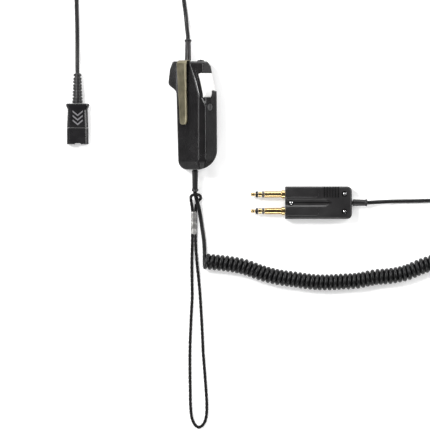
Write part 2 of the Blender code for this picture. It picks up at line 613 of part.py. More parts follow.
def belt_clip(parent):
    """A sprung strip over the clip face, folded over the pod's end into its slot."""
    path = [(-0.0085, 0.0026), (-0.0068, 0.0017), (-0.0030, 0.0015), (0.0440, 0.0034),
            (0.0492, 0.0032), (0.0507, 0.0024), (0.0516, 0.0009), (0.0517, -0.0010),
            (0.0517, -0.0034), (0.0511, -0.0041), (0.0500, -0.0042), (0.0462, -0.0042)]
    half = CLIP_THICK / 2
    normals = []
    for before, after in zip(path[:1] + path[:-1], path[1:] + path[-1:]):
        direction = (Vector(after) - Vector(before)).normalized()
        normals.append(Vector((-direction.y, direction.x)) * half)
    outer = [tuple(Vector(point) + normal) for point, normal in zip(path, normals)]
    inner = [tuple(Vector(point) - normal) for point, normal in zip(path, normals)]
    clip = plate("belt_clip", outer + inner[::-1], 0.0, 0.0200, side_frame(CLIP))
    shape = rounded([(0.0041, 0.0560, 0.0008), (0.0041, 0.0507, 0.0004), (0.0017, 0.0490, 0.0010),
                     (0.0039, -0.0095, 0.0042), (0.0126, -0.0095, 0.0042), (0.0131, 0.0490, 0.0010),
                     (0.0119, 0.0507, 0.0004), (0.0119, 0.0560, 0.0008)], 5)
    arm = plate("arm_outline", shape, -0.0020, 0.0100, CLIP)
    tongue = box("tongue_outline", (0.0041, 0.0400, -0.0080), (0.0119, 0.0560, 0.0), CLIP)
    combine(clip, join(arm, tongue), "INTERSECT")
    finish(clip, "clip_steel", parent, CLIP @ Vector((0.0080, *CLIP_PIVOT)))


def housing_screws(parent):
    for number, y in enumerate(POST_PLACES, 1):
        frame = axis_frame((0.0, y, SCREW_HEIGHT), (1.0, 0.0, 0.0))
        screw = turned(f"housing_screw_{number}",
                       [(0.0, 0.0198), (0.0012, 0.0198), (0.0020, 0.0192), (0.0020, 0.0184),
                        (0.0011, 0.0180), (0.0011, 0.0055), (0.0, 0.0050)], frame, 16)
        cut(screw, box("drive_slot", (-0.0004, -0.0030, 0.0193), (0.0004, 0.0030, 0.0220), frame))
        finish(screw, "screw_steel", parent)


def droop(x, wall, direction, distance):
    """A point on a boot's centre line, a distance out from the pod's end wall."""
    drop = BOOT_DROOP * max(distance, 0.0) ** 2
    return (x, wall + direction * distance, ENTRY_HEIGHT - drop)


def cord_boot(name, x, wall, direction, length, radius, parent):
    """A smooth tapered boot with a collar at its end and a flange inside the pod's wall."""
    collar = length - 0.0028
    stations = [
        (-0.0048, 0.0040), (-0.0033, 0.0040), (-0.00325, 0.0023), (0.0006, 0.0023),
        (0.00065, radius + 0.0001), (0.0040, radius), (0.0090, radius - 0.0001),
        (collar - 0.0015, radius - 0.0003), (collar, radius - 0.0001), (collar + 0.0009, radius + 0.0005),
        (collar + 0.0018, radius + 0.0004), (collar + 0.0025, radius - 0.0006), (length, radius - 0.0008),
    ]
    points = [droop(x, wall, direction, distance) for distance, _ in stations]
    finish(tube(name, points, [width for _, width in stations], 4), "black_rubber", parent)


# ---------------------------------------------------------------- the headset connector
def headset_connector(parent):
    split, end = CONNECTOR_SPLIT, CONNECTOR_END
    centre = axis_frame((CONNECTOR_X, 0.0, CONNECTOR_Z), (0.0, 0.0, 1.0))
    rear_outline = [
        (-0.0103, split + GAP, 0.0003), (0.0101, split + GAP, 0.0003), (0.0097, -0.0010, 0.0100),
        (0.0097, 0.0060, 0.0040), (0.0112, 0.0098, 0.0008), (0.0108, 0.0109, 0.0005),
        (-0.0108, 0.0109, 0.0005), (-0.0112, 0.0098, 0.0008), (-0.0097, 0.0060, 0.0040),
        (-0.0097, -0.0010, 0.0100),
    ]
    rear = plate("connector_rear_body", rounded(rear_outline, 2), -0.0048, 0.0048, centre)
    finish(rear, "black_plastic", parent)

    # The front sleeve is open towards -Y, where the headset's own half goes in.
    sleeve_outline = rounded([(-0.0103, -0.0049, 0.0012), (0.0103, -0.0049, 0.0012),
                              (0.0103, 0.0049, 0.0012), (-0.0103, 0.0049, 0.0012)], 2)
    sleeve_frame = Matrix.Translation((CONNECTOR_X, 0.0, CONNECTOR_Z)) @ SECTION
    sleeve = plate("connector_front_sleeve", sleeve_outline, -split, -end, sleeve_frame)
    cut(sleeve, box("mouth", (-0.0087, end - 0.0100, -0.0033), (0.0087, split - 0.0020, 0.0033), centre),
        box("thumb_notch", (-0.0032, end - 0.0100, 0.0), (0.0032, end + 0.0010, 0.0100), centre))
    finish(sleeve, "black_plastic", parent)
    carrier = box("contact_carrier", (-0.0083, -0.0172, -0.0029), (0.0083, split - 0.0023, 0.0029), centre)
    finish(carrier, "grey_plastic", parent)
    for number, x in enumerate((-0.0060, -0.0020, 0.0020, 0.0060), 1):
        blade = box(f"contact_blade_{number}", (x - 0.0012, -0.0205, -0.0003),
                    (x + 0.0012, -0.0172 - GAP, 0.0003), centre)
        finish(blade, "gold_plate", parent)


def connector_boot(parent):
    """The ribbed boot: a tapered core with rounded ribs a pitch apart."""
    start, end, ribs = 0.0112, 0.0397, 6
    pitch = (end - start) / ribs
    points, radii = [], []
    for rib in range(ribs):
        core = 0.0036 - 0.0008 * rib / ribs
        base = start + rib * pitch
        crest = 0.0045 - 0.0008 * rib / (ribs - 1)
        for share, width in ((0.0, crest), (0.12, crest + 0.0001), (0.52, crest), (0.62, core), (0.92, core)):
            points.append((CONNECTOR_X - 0.0003 * rib / ribs, base + share * pitch, CONNECTOR_Z))
            radii.append(width)
    points.append((CONNECTOR_X - 0.0003, end, CONNECTOR_Z))
    radii.append(0.0026)
    finish(tube("connector_boot", points, radii, 3), "black_rubber", parent)


# ---------------------------------------------------------------- the twin plug
def plug_shell(name, low, high, outward, parent):
    """One half of the twin plug's body: a tray with screw posts, open towards the other half."""
    half = PLUG_HALF_WIDTH
    corners = [(PLUG_FRONT, PLUG_Y - half, 0.0006), (PLUG_REAR, PLUG_Y - half, 0.0050),
               (PLUG_REAR, PLUG_Y + half, 0.0050), (PLUG_FRONT, PLUG_Y + half, 0.0006)]
    shell = plate(name, rounded(corners), low, high)
    middle = PLUG_HEIGHT / 2
    floor = high - WALL if outward > 0 else low + WALL
    hollow = plate("hollow", rounded(inset(corners, WALL)), min(middle - outward * 0.002, floor),
                   max(middle - outward * 0.002, floor))
    cut(shell, hollow)
    for x, y in PLUG_SCREWS:
        top = high - 0.0005 if outward > 0 else high
        join(shell, cylinder("post", 0.0034, low, top, WORLD, 20, (x, y)))
        cut(shell, cylinder("screw_bore", 0.00125, 0.0022, 0.0200, WORLD, 16, (x, y)))
        if outward > 0:
            cut(shell, cylinder("counterbore", 0.0026, PLUG_HEIGHT - 0.0021, 0.0200, WORLD, 20, (x, y)))
    for side in (-1, 1):
        mouth = axis_frame((PLUG_FRONT, PLUG_Y + side * PRONG_OFFSET, middle), (1.0, 0.0, 0.0))
        cut(shell, cylinder("prong_mouth", 0.0027, -0.0050, 0.0040, mouth))
    cut(shell, cylinder("boot_mouth", 0.0025, -0.0040, 0.0040,
                        axis_frame((PLUG_REAR, PLUG_Y, middle), (1.0, 0.0, 0.0))))
    return finish(shell, "black_plastic", parent)


def twin_plug(parent):
    middle = PLUG_HEIGHT / 2
    top = plug_shell("plug_top_shell", middle + GAP / 2, PLUG_HEIGHT, 1, parent)
    for number in range(GROOVE_COUNT):
        x = GROOVE_FIRST + number * GROOVE_PITCH
        cut(top, box("groove", (x - 0.0005, PLUG_Y + 0.0048, PLUG_HEIGHT - 0.0008),
                     (x + 0.0005, PLUG_Y + 0.0300, 0.0300)))
    channel = [(PLUG_FRONT - 0.0100, -0.0038), (0.1290, -0.0038), (0.1317, 0.0), (0.1250, 0.0043),
               (PLUG_FRONT - 0.0100, 0.0043)]
    cut(top, plate("channel", [(x, PLUG_Y + y) for x, y in channel], PLUG_HEIGHT - 0.0010, 0.0200))
    plug_shell("plug_bottom_shell", 0.0, middle - GAP / 2, -1, parent)
    for number, (x, y) in enumerate(PLUG_SCREWS, 1):
        frame = axis_frame((x, y, 0.0), (0.0, 0.0, 1.0))
        screw = turned(f"plug_screw_{number}",
                       [(0.0, 0.0147), (0.0010, 0.0146), (0.0017, 0.0141), (0.0017, 0.0132),
                        (0.0011, 0.0132), (0.0011, 0.0030), (0.0, 0.0025)], frame, 16)
        finish(screw, "screw_steel", parent)
    for side, name in ((1, "upper"), (-1, "lower")):
        prong(name, axis_frame((PLUG_FRONT, PLUG_Y + side * PRONG_OFFSET, middle), (-1.0, 0.0, 0.0)), parent)

    points, radii = [], []
    for x, width in ((-0.0052, 0.0038), (-0.0036, 0.0038), (-0.00355, 0.0021), (0.0005, 0.0021),
                     (0.00055, 0.0033), (0.0060, 0.0032), (0.0128, 0.0030), (0.0133, 0.0035),
                     (0.0140, 0.0036), (0.0146, 0.0034), (0.0148, 0.0026)):
        points.append((PLUG_REAR + x, PLUG_Y, middle))
        radii.append(width)
    finish(tube("plug_boot", points, radii, 4), "black_rubber", parent)


def prong(name, frame, parent):
    """One three-pole prong along the frame's Z: a cored tip, then bored rings that sit round the core."""
    core, bore = 0.0008, 0.0011
    tip = [(0.0, 0.0328), (0.0009, 0.0327), (0.0017, 0.0322), (0.0020, 0.0313), (0.0020, 0.0305),
           (0.0017, 0.0300), (0.0018, 0.0288), (0.0018, 0.0285), (core, 0.0285), (core, -0.0060), (0.0, -0.0060)]
    finish(turned(f"{name}_prong_tip", tip, frame, 16), "gold_plate", parent)
    pieces = (
        ("front_insulator", "insulator", [(0.0020, 0.0282), (0.0031, 0.0272), (0.0031, 0.0262), (0.0027, 0.0258)]),
        ("ring", "gold_plate", [(0.0026, 0.0255), (0.0027, 0.0251), (0.0027, 0.0224), (0.0026, 0.0221)]),
        ("rear_insulator", "insulator", [(0.0027, 0.0218), (0.0030, 0.0214), (0.0030, 0.0204), (0.0029, 0.0201)]),
        ("sleeve", "gold_plate", [(0.0029, 0.0198), (0.0031, 0.0196), (0.0031, 0.0034), (0.0041, 0.0033),
                                  (0.0041, 0.0003), (0.0023, 0.0003), (0.0023, -0.0030), (0.0036, -0.0030),
                                  (0.0036, -0.0050)]),
    )
    for piece, finish_name, outside in pieces:
        profile = outside + [(bore, outside[-1][1]), (bore, outside[0][1])]
        finish(turned(f"{name}_prong_{piece}", profile, frame, 16, bored=True), finish_name, parent)


# ---------------------------------------------------------------- cords
def cords(parent):
    finish(tube("headset_lead", smooth(HEADSET_LEAD_ROUTE, 0.0080), HEADSET_CORD_RADIUS, 2),
           "cord_jacket", parent)
    finish(tube("console_lead_upper", smooth(CONSOLE_LEAD_UPPER_ROUTE, 0.0060), CORD_RADIUS, 2),
           "cord_jacket", parent)
    coil = [(x, y, COIL_RADIUS + 0.0001) for x, y in COIL_ROUTE]
    finish(tube("console_coil", smooth(coil, 0.0120), COIL_RADIUS, 3), "cord_jacket", parent)
    finish(tube("console_lead_tail", smooth(CONSOLE_LEAD_TAIL_ROUTE, 0.0080), CORD_RADIUS, 2),
           "cord_jacket", parent)
    finish(tube("lanyard_loop", smooth(LANYARD_LOOP_ROUTE, 0.0070), LANYARD_RADIUS, 2), "braid", parent)
    finish(tube("lanyard_eye", smooth(LANYARD_EYE_ROUTE, 0.0025), LANYARD_RADIUS, 2), "braid", parent)
    half, (low, high) = FERRULE["half_width"], FERRULE["heights"]
    corners = [(-half, low, 0.0015), (half, low, 0.0015), (half, high, 0.0015), (-half, high, 0.0015)]
    frame = Matrix.Translation((FERRULE["x"], 0.0, 0.0)) @ SECTION
    ferrule = plate("lanyard_ferrule", rounded(corners), -FERRULE["y"][1], -FERRULE["y"][0], frame)
    finish(ferrule, "ferrule_metal", parent)


# ---------------------------------------------------------------- assembly
for leftover in list(bpy.data.objects):
    bpy.data.objects.remove(leftover)
parts = bpy.data.collections.new("push_to_talk_lead")
bpy.context.scene.collection.children.link(parts)

pod = group("pod", (0.0, 0.0, 0.0))
pod_shells(pod)
push_button(pod)
return_spring(pod)
switch_and_board(pod)
volume_control(pod)
belt_clip(pod)
housing_screws(pod)
cord_boot("headset_lead_boot", ENTRY_TOP_X, POD_HIGH, 1, 0.0211, 0.0030, pod)
cord_boot("console_lead_boot", ENTRY_LOW_X, POD_LOW, -1, 0.0209, 0.0029, pod)

connector = group("headset_connector", (CONNECTOR_X, 0.0, CONNECTOR_Z))
headset_connector(connector)
connector_boot(connector)

plug = group("twin_plug", (PLUG_REAR, PLUG_Y, PLUG_HEIGHT / 2))
twin_plug(plug)

cords(group("cord_set", (0.0, 0.0, 0.0)))
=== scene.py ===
"""Looks for the push-to-talk adapter lead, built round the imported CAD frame. Metres, +Z up."""

import math

import bmesh
import bpy
from mathutils import Matrix, Vector


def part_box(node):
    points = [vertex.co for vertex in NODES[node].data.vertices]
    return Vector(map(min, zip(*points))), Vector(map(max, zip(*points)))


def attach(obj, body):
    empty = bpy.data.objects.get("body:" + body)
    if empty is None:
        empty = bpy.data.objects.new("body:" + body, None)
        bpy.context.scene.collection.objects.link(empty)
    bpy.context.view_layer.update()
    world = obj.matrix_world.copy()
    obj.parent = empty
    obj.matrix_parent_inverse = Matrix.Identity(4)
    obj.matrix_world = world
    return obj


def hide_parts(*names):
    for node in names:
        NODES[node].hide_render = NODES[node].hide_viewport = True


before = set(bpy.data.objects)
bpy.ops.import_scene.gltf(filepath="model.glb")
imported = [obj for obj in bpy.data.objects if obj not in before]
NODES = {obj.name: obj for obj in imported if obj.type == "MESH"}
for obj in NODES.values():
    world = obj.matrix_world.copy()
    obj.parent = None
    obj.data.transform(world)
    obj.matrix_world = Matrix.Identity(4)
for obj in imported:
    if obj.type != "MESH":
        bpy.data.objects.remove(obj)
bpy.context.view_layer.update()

# ---------------------------------------------------------------- the pod's frames and main sizes
ALONG = Vector((0.0, 1.0, 0.0))
TILT = math.atan(0.2703)        # the button face leans this much more than the face below it
FACE_TOP, FACE_SIDE = Vector((0.0118, 0.0, 0.0320)), Vector((0.0233, 0.0, 0.0210))
CLIP_FOOT, CLIP_HEAD = Vector((-0.0145, 0.0, 0.0155)), Vector((0.0055, 0.0, 0.0320))

GAP, WALL = 0.0003, 0.0020
RIDGE_BLEND, BROW_BLEND, SEAM_GAP = 0.0009, 0.0004, 0.00014
WELD = 1e-6
POD_STEP = 0.0227               # where the button's recess steps the right wall in
POD_OUTLINE = [                 # x, y and corner radius, from above
    (-0.0192, 0.0510, 0.0025), (-0.0220, 0.0430, 0.0080), (-0.02358, 0.0291, 0.0045),
    (-0.0157, 0.0226, 0.0060), (-0.0138, -0.0521, 0.0090), (0.0233, -0.0521, 0.0190),
    (0.0227, POD_STEP, 0.0004), (0.0200, POD_STEP, 0.0004), (0.0181, 0.0408, 0.0006),
    (0.0170, 0.0464, 0.0030), (0.0136, 0.0510, 0.0020),
]
POD_LOW, POD_HIGH, POD_BEND = -0.0521, 0.0510, 0.0190
POD_TAPER_LOW, POD_TAPER_HIGH = -0.0435, 0.0496
END_INSET_LOW, END_INSET_HIGH = 0.0035, 0.0012
HOOK_SIDE, HOOK_FOOT = (-0.0240, 0.0120), (-0.0145, 0.0155)     # x and z of the hook's sloping face
RIDGES = (                      # x and z of each ridge along the straight part, and where the bend ends
    ((0.0055, 0.0320), (-0.0027, 0.0252)), ((0.0118, 0.0320), (0.0064, 0.0252)),
    ((0.0233, 0.0210), (0.0216, 0.0108)),
)
UNDER_LEFT, UNDER_RIGHT = ((0.0120, 0.0), (0.0240, -0.0070)), ((0.0175, 0.0), (0.0233, -0.0055))
FACE_BLEND = 0.0008             # over which the hook's face and the underside's slopes join
FACET_FOOT, FACET_SIDE, FACET_HIGH = (0.0118, 0.0083), (0.887, 0.461), 0.01645
FACET_WIDTH, FACET_DEPTH, FACET_RISE, FACET_FADE = 0.0012, 0.0006, 0.0015, 0.0170
BROW_FOOT, BROW_SLOPES = (-0.0010, 0.0436, 0.0264), (0.14, 0.34)
SEAM = [                        # the line between the two shells, from above
    (-0.0047, 0.0620), (-0.0047, 0.0520), (-0.0026, 0.0482), (0.0012, 0.0445), (0.0030, 0.0400),
    (0.0046, 0.0320), (0.0060, 0.0250), (0.0065, 0.0200), (0.0068, 0.0160), (0.0082, 0.0115),
    (0.0101, 0.0070), (0.0105, 0.0010), (0.0105, -0.0150), (0.0104, -0.0290), (0.0092, -0.0350),
    (0.0062, -0.0410), (0.0034, -0.0455), (0.0021, -0.0500), (0.0020, -0.0540), (0.0020, -0.0640),
]
BUTTON_LEFT, BUTTON_LOW, BUTTON_HIGH = -0.0013, -0.0020, 0.0213
POCKET_DEPTH, POCKET_CLEAR, LIP_LEFT, LIP_HIGH = 0.0050, 0.0004, 0.0084, 0.0037
STEM_LEFT, STEM_RIGHT = 0.0032, 0.0072
CLIP_THICK, CLIP_ROLL = 0.0008, 0.0019
CLIP_PATH = [                   # the clip's fold from the side: along the pod, then out of its face
    (-0.0092, 0.0019), (-0.0085, 0.0018), (-0.0068, 0.0016), (-0.0030, 0.0015), (0.0440, 0.0034),
    (0.0492, 0.0032), (0.0507, 0.0024), (0.0516, 0.0009), (0.0517, -0.0010), (0.0517, -0.0034),
    (0.0511, -0.0041), (0.0500, -0.0042), (0.0462, -0.0042)]
WHEEL_CENTRE, WHEEL_RADIUS, WHEEL_HEIGHTS = (0.0074, 0.0462), 0.0066, (0.0125, 0.0165)
WHEEL_TEETH, TOOTH_RADIUS = 16, 0.0007
TRIMMER_CENTRE, TRIMMER_RADIUS = (0.0067, 0.0073), 0.0034
SCREW_PLACES, SCREW_HEIGHT = (-0.0320, -0.0040, 0.0240), 0.0090
ENTRY_HEIGHT, BOOT_DROOP = 0.0120, 8.8
ENTRY_TOP_X, ENTRY_LOW_X = -0.0047, 0.0020

BOOT_FOOT, BOOT_TIP = 0.0112, 0.0397
CONNECTOR_X, CONNECTOR_Z, CONNECTOR_SPLIT, CONNECTOR_END = -0.1097, 0.0050, -0.0124, -0.0280
PLUG_REAR, PLUG_FRONT, PLUG_Y, PLUG_HALF_WIDTH, PLUG_HEIGHT = 0.1513, 0.0877, -0.0835, 0.01555, 0.0150
PLUG_EDGE = 0.0021
PRONG_OFFSET = 0.0079375        # the prongs stand 5/8 inch apart
PLUG_SCREWS = ((0.1443, -0.0752), (0.1443, -0.0919), (0.0935, -0.0838))
GROOVE_FIRST, GROOVE_PITCH, GROOVE_COUNT, GROOVE_SIZE = 0.1252, 0.00265, 6, (0.0013, 0.0252, 0.0058)

# ---------------------------------------------------------------- cord routes
HEADSET_CORD, CONSOLE_CORD, LANYARD_CORD = 0.0039, 0.0038, 0.0027      # diameters
COIL_RADIUS, COIL_PITCH, COIL_STEPS = 0.0059, 0.00445, 20               # to the cord's own line
COIL_HEIGHT = 0.00795
HEADSET_LEAD_ROUTE = [
    (-0.0047, 0.0700, 0.0088), (-0.0047, 0.0726, 0.0079), (-0.0050, 0.0765, 0.0065),
    (-0.0056, 0.0820, 0.0047), (-0.0061, 0.0880, 0.0031), (-0.0068, 0.0950, 0.0022),
    (-0.0077, 0.1020, 0.0020), (-0.0087, 0.1095, 0.0020), (-0.0098, 0.1200, 0.0020),
    (-0.0112, 0.1330, 0.0020), (-0.0180, 0.1520, 0.0020), (-0.0350, 0.1710, 0.0020),
    (-0.0600, 0.1790, 0.0020), (-0.0850, 0.1705, 0.0020), (-0.1020, 0.1515, 0.0020),
    (-0.1092, 0.1320, 0.0020), (-0.1106, 0.1200, 0.0020), (-0.1108, 0.1095, 0.0020),
    (-0.1106, 0.0980, 0.0020), (-0.1102, 0.0810, 0.0020), (-0.1101, 0.0695, 0.0021),
    (-0.1101, 0.0600, 0.0027), (-0.1101, 0.0510, 0.0039), (-0.1101, 0.0450, 0.0047),
    (-0.1100, 0.0402, 0.0050), (-0.1099, 0.0350, 0.0050),
]
CONSOLE_LEAD_UPPER_ROUTE = [
    (0.0020, -0.0706, 0.0088), (0.0020, -0.0735, 0.0080), (0.0026, -0.0768, 0.0069),
    (0.0035, -0.0803, 0.0059), (0.0047, -0.0847, 0.0049), (0.0057, -0.0890, 0.0040),
    (0.0067, -0.0940, 0.0030), (0.0075, -0.0990, 0.0023), (0.0084, -0.1045, 0.0020),
    (0.0095, -0.1120, 0.0020), (0.0104, -0.1190, 0.0020), (0.0109, -0.1255, 0.0020),
    (0.0111, -0.1309, 0.0020),
]
COIL_ROUTE = [
    (0.0111, -0.1392), (0.0200, -0.1401), (0.0353, -0.1418), (0.0505, -0.1450), (0.0658, -0.1505),
    (0.0810, -0.1543), (0.0962, -0.1564), (0.1115, -0.1586), (0.1267, -0.1593), (0.1419, -0.1585),
    (0.1572, -0.1576), (0.1724, -0.1545), (0.1877, -0.1532), (0.2029, -0.1502), (0.2140, -0.1455),
    (0.2258, -0.1413), (0.2400, -0.1380), (0.2560, -0.1355), (0.2700, -0.1275), (0.2775, -0.1140),
    (0.2755, -0.1000), (0.2655, -0.0915), (0.2540, -0.0890), (0.2470, -0.0890),
]
CONSOLE_LEAD_TAIL_ROUTE = [
    (0.2440, -0.0834, 0.0020), (0.2400, -0.0822, 0.0020), (0.2330, -0.0814, 0.0020),
    (0.2248, -0.0815, 0.0020), (0.2160, -0.0818, 0.0020), (0.2067, -0.0820, 0.0020),
    (0.1970, -0.0821, 0.0021), (0.1890, -0.0823, 0.0029), (0.1815, -0.0826, 0.0045),
    (0.1750, -0.0829, 0.0062), (0.1700, -0.0832, 0.0072), (0.1664, -0.0834, 0.0075),
    (0.1500, -0.0835, 0.0075), (0.1290, -0.0835, 0.0075),
]
LANYARD_ROUTE = [
    (-0.0005, -0.1030, 0.0017), (-0.0005, -0.1140, 0.0015), (-0.0007, -0.1240, 0.0014),
    (-0.0011, -0.1400, 0.0014), (-0.0010, -0.1560, 0.0014), (-0.0007, -0.1720, 0.0014),
    (-0.0016, -0.1900, 0.0014), (-0.0024, -0.2080, 0.0014), (-0.0029, -0.2260, 0.0014),
    (-0.0029, -0.2440, 0.0014), (-0.0026, -0.2620, 0.0014), (-0.0023, -0.2770, 0.0014),
    (-0.0011, -0.2880, 0.0014), (0.0016, -0.2945, 0.0014), (0.0055, -0.2972, 0.0014),
    (0.0098, -0.2946, 0.0014), (0.0125, -0.2880, 0.0014), (0.0132, -0.2770, 0.0014),
    (0.0124, -0.2620, 0.0014), (0.0111, -0.2440, 0.0014), (0.0097, -0.2260, 0.0014),
    (0.0089, -0.2080, 0.0014), (0.0079, -0.1900, 0.0014), (0.0068, -0.1720, 0.0014),
    (0.0054, -0.1560, 0.0014), (0.0037, -0.1400, 0.0014), (0.0027, -0.1240, 0.0014),
    (0.0025, -0.1140, 0.0015), (0.0025, -0.1030, 0.0017), (0.0025, -0.0914, 0.0017),
    (0.0028, -0.0868, 0.0015), (0.0050, -0.0822, 0.0016), (0.0074, -0.0792, 0.0046),
    (0.0066, -0.0767, 0.0088), (0.0034, -0.0755, 0.0115), (0.0004, -0.0759, 0.0112),
    (-0.0017, -0.0775, 0.0086), (-0.0019, -0.0806, 0.0060), (-0.0010, -0.0862, 0.0032),
    (-0.0005, -0.0914, 0.0017), (-0.0005, -0.1010, 0.0017),
]


# ---------------------------------------------------------------- frames, lines and outlines
def frame_matrix(origin, across, along):
    """A right-handed frame from its origin, X direction and Y direction."""
    across, along = Vector(across).normalized(), Vector(along).normalized()
    matrix = Matrix((across, along, across.cross(along))).transposed().to_4x4()
    matrix.translation = Vector(origin)
    return matrix


def axis_frame(origin, direction):
    """A frame whose Z runs along a direction, for turned pieces."""
    turn = Vector((0.0, 0.0, 1.0)).rotation_difference(Vector(direction)).to_matrix().to_4x4()
    return Matrix.Translation(Vector(origin)) @ turn


WORLD = Matrix.Identity(4)
FACE = frame_matrix(FACE_TOP, FACE_SIDE - FACE_TOP, ALONG)
BUTTON = Matrix.Translation((0.0, POD_BEND, 0.0)) @ FACE @ Matrix.Rotation(-TILT, 4, "X")
CLIP = frame_matrix(CLIP_FOOT, CLIP_HEAD - CLIP_FOOT, ALONG)


def smooth(points, spacing):
    """Points read every spacing or so along a Catmull-Rom curve through the given points."""
    knots = [Vector(point) for point in points]
    knots = [2 * knots[0] - knots[1]] + knots + [2 * knots[-1] - knots[-2]]
    result = []
    for a, b, c, d in zip(knots, knots[1:], knots[2:], knots[3:]):
        count = max(1, round((c - b).length / spacing))
        for step in range(count):
            t = step / count
            result.append(b + (c - a) * t / 2 + (2 * a - 5 * b + 4 * c - d) * t * t / 2
                          + (3 * b - a - 3 * c + d) * t ** 3 / 2)
    return result + [knots[-2]]


def length_of(line):
    return sum((Vector(b) - Vector(a)).length for a, b in zip(line, line[1:]))


def rounded(corners, steps=6):
    """Outline points from (x, y, radius) corners, with an arc at each corner."""
    points = []
    for index, (x, y, radius) in enumerate(corners):
        corner = Vector((x, y))
        before = (Vector(corners[index - 1][:2]) - corner).normalized()
        after = (Vector(corners[(index + 1) % len(corners)][:2]) - corner).normalized()
        half = before.angle(after) / 2
        centre = corner + (before + after).normalized() * radius / math.sin(half)
        reach = radius / math.tan(half)
        start, end = corner + before * reach - centre, corner + after * reach - centre
        first = math.atan2(start.y, start.x)
        turn = (math.atan2(end.y, end.x) - first + math.pi) % math.tau - math.pi
        for step in range(steps + 1):
            angle = first + turn * step / steps
            points.append((centre.x + radius * math.cos(angle), centre.y + radius * math.sin(angle)))
    return points


def inset(corners, distance):
    """The corners of a counter-clockwise outline moved inwards, with their radii to match."""
    moved = []
    for index, (x, y, radius) in enumerate(corners):
        corner = Vector((x, y))
        arrive = (corner - Vector(corners[index - 1][:2])).normalized()
        leave = (Vector(corners[(index + 1) % len(corners)][:2]) - corner).normalized()
        inward = Vector((-arrive.y - leave.y, arrive.x + leave.x)) / (1 + arrive.dot(leave))
        bend = math.copysign(1.0, arrive.cross(leave))
        spot = corner + inward * distance
        moved.append((spot.x, spot.y, max(radius - bend * distance, 0.0003)))
    return moved


def width_at(outline, y):
    """The left and right sides of an outline at y."""
    crossings = []
    for (ax, ay), (bx, by) in zip(outline, outline[1:] + outline[:1]):
        if min(ay, by) <= y <= max(ay, by) and ay != by:
            crossings.append(ax + (bx - ax) * (y - ay) / (by - ay))
    return min(crossings), max(crossings)


def spread(first, last, count):
    return [first + (last - first) * step / count for step in range(count)]


def coiled(route, radius, pitch, height, steps, cord):
    """The cord's own line round a coil's centre line. It starts and ends underneath, and the turns
    open where the coil bends, so that the inner side of the bend doesn't pinch."""
    centre = smooth([(x, y, height) for x, y in route], 0.001)
    count = len(centre)
    tangents = [(centre[min(i + 1, count - 1)] - centre[max(i - 1, 0)]).normalized() for i in range(count)]
    reach = 9
    pitches = []
    for i in range(count):
        a, b = max(i - reach, 0), min(i + reach, count - 1)
        bend = tangents[a].angle(tangents[b]) / length_of(centre[a:b + 1])
        pitches.append(max(pitch, 1.03 * cord / max(1.0 - radius * bend, 0.4)))
    along, turns = [0.0], [0.0]
    for i in range(count - 1):
        step = (centre[i + 1] - centre[i]).length
        along.append(along[-1] + step)
        turns.append(turns[-1] + step * 2 / (pitches[i] + pitches[i + 1]))
    whole = round(turns[-1])
    turns = [turn * whole / turns[-1] for turn in turns]
    line, place = [], 0
    for number in range(whole * steps + 1):
        turn = number / steps
        while place < count - 2 and turns[place + 1] < turn:
            place += 1
        share = (turn - turns[place]) / (turns[place + 1] - turns[place])
        spot = centre[place].lerp(centre[place + 1], share)
        tangent = tangents[place].lerp(tangents[place + 1], share).normalized()
        side = Vector((0.0, 0.0, 1.0)).cross(tangent)
        angle = math.tau * turn - math.pi / 2
        line.append(spot - side * radius * math.cos(angle) + Vector((0.0, 0.0, radius * math.sin(angle))))
    return line


# ---------------------------------------------------------------- node trees
def add_node(tree, kind, inputs=(), **settings):
    """One node in a tree. Inputs maps a socket's name or number to a value or to another node's output."""
    made = tree.nodes.new(kind)
    for key, value in settings.items():
        setattr(made, key, value)
    for socket, value in dict(inputs).items():
        if isinstance(value, bpy.types.NodeSocket):
            tree.links.new(value, made.inputs[socket])
        else:
            made.inputs[socket].default_value = value
    return made


def maths(tree, operation, first, second=0.0):
    return add_node(tree, "ShaderNodeMath", {0: first, 1: second}, operation=operation).outputs[0]


def new_tree(name, inputs):
    """A geometry tree with a geometry in and out, and a named input for each of its sizes."""
    tree = bpy.data.node_groups.new(name, "GeometryNodeTree")
    tree.interface.new_socket("Geometry", in_out="INPUT", socket_type="NodeSocketGeometry")
    for label, kind, value in [*inputs, ("Finish", "Material", None)]:
        socket = tree.interface.new_socket(label, in_out="INPUT", socket_type="NodeSocket" + kind)
        if value is not None:
            socket.default_value = value
    tree.interface.new_socket("Geometry", in_out="OUTPUT", socket_type="NodeSocketGeometry")
    return tree, tree.nodes.new("NodeGroupInput").outputs


def close_tree(tree, given, geometry):
    """Ends a tree in Realize Instances and Set Material."""
    real = add_node(tree, "GeometryNodeRealizeInstances", {0: geometry})
    dressed = add_node(tree, "GeometryNodeSetMaterial",
                       {"Geometry": real.outputs[0], "Material": given["Finish"]})
    add_node(tree, "NodeGroupOutput", {0: dressed.outputs[0]})
    return tree


def grown(piece, tree, **values):
    """The piece put through a tree, as a plain mesh. Values are the tree's inputs by name, _ for a space."""
    modifier = piece.modifiers.new(tree.name, "NODES")
    modifier.node_group = tree
    sockets = {item.name: item.identifier for item in tree.interface.items_tree
               if item.item_type == "SOCKET" and item.in_out == "INPUT"}
    for label, value in values.items():
        modifier[sockets[label.replace("_", " ")]] = value
    return baked(piece)


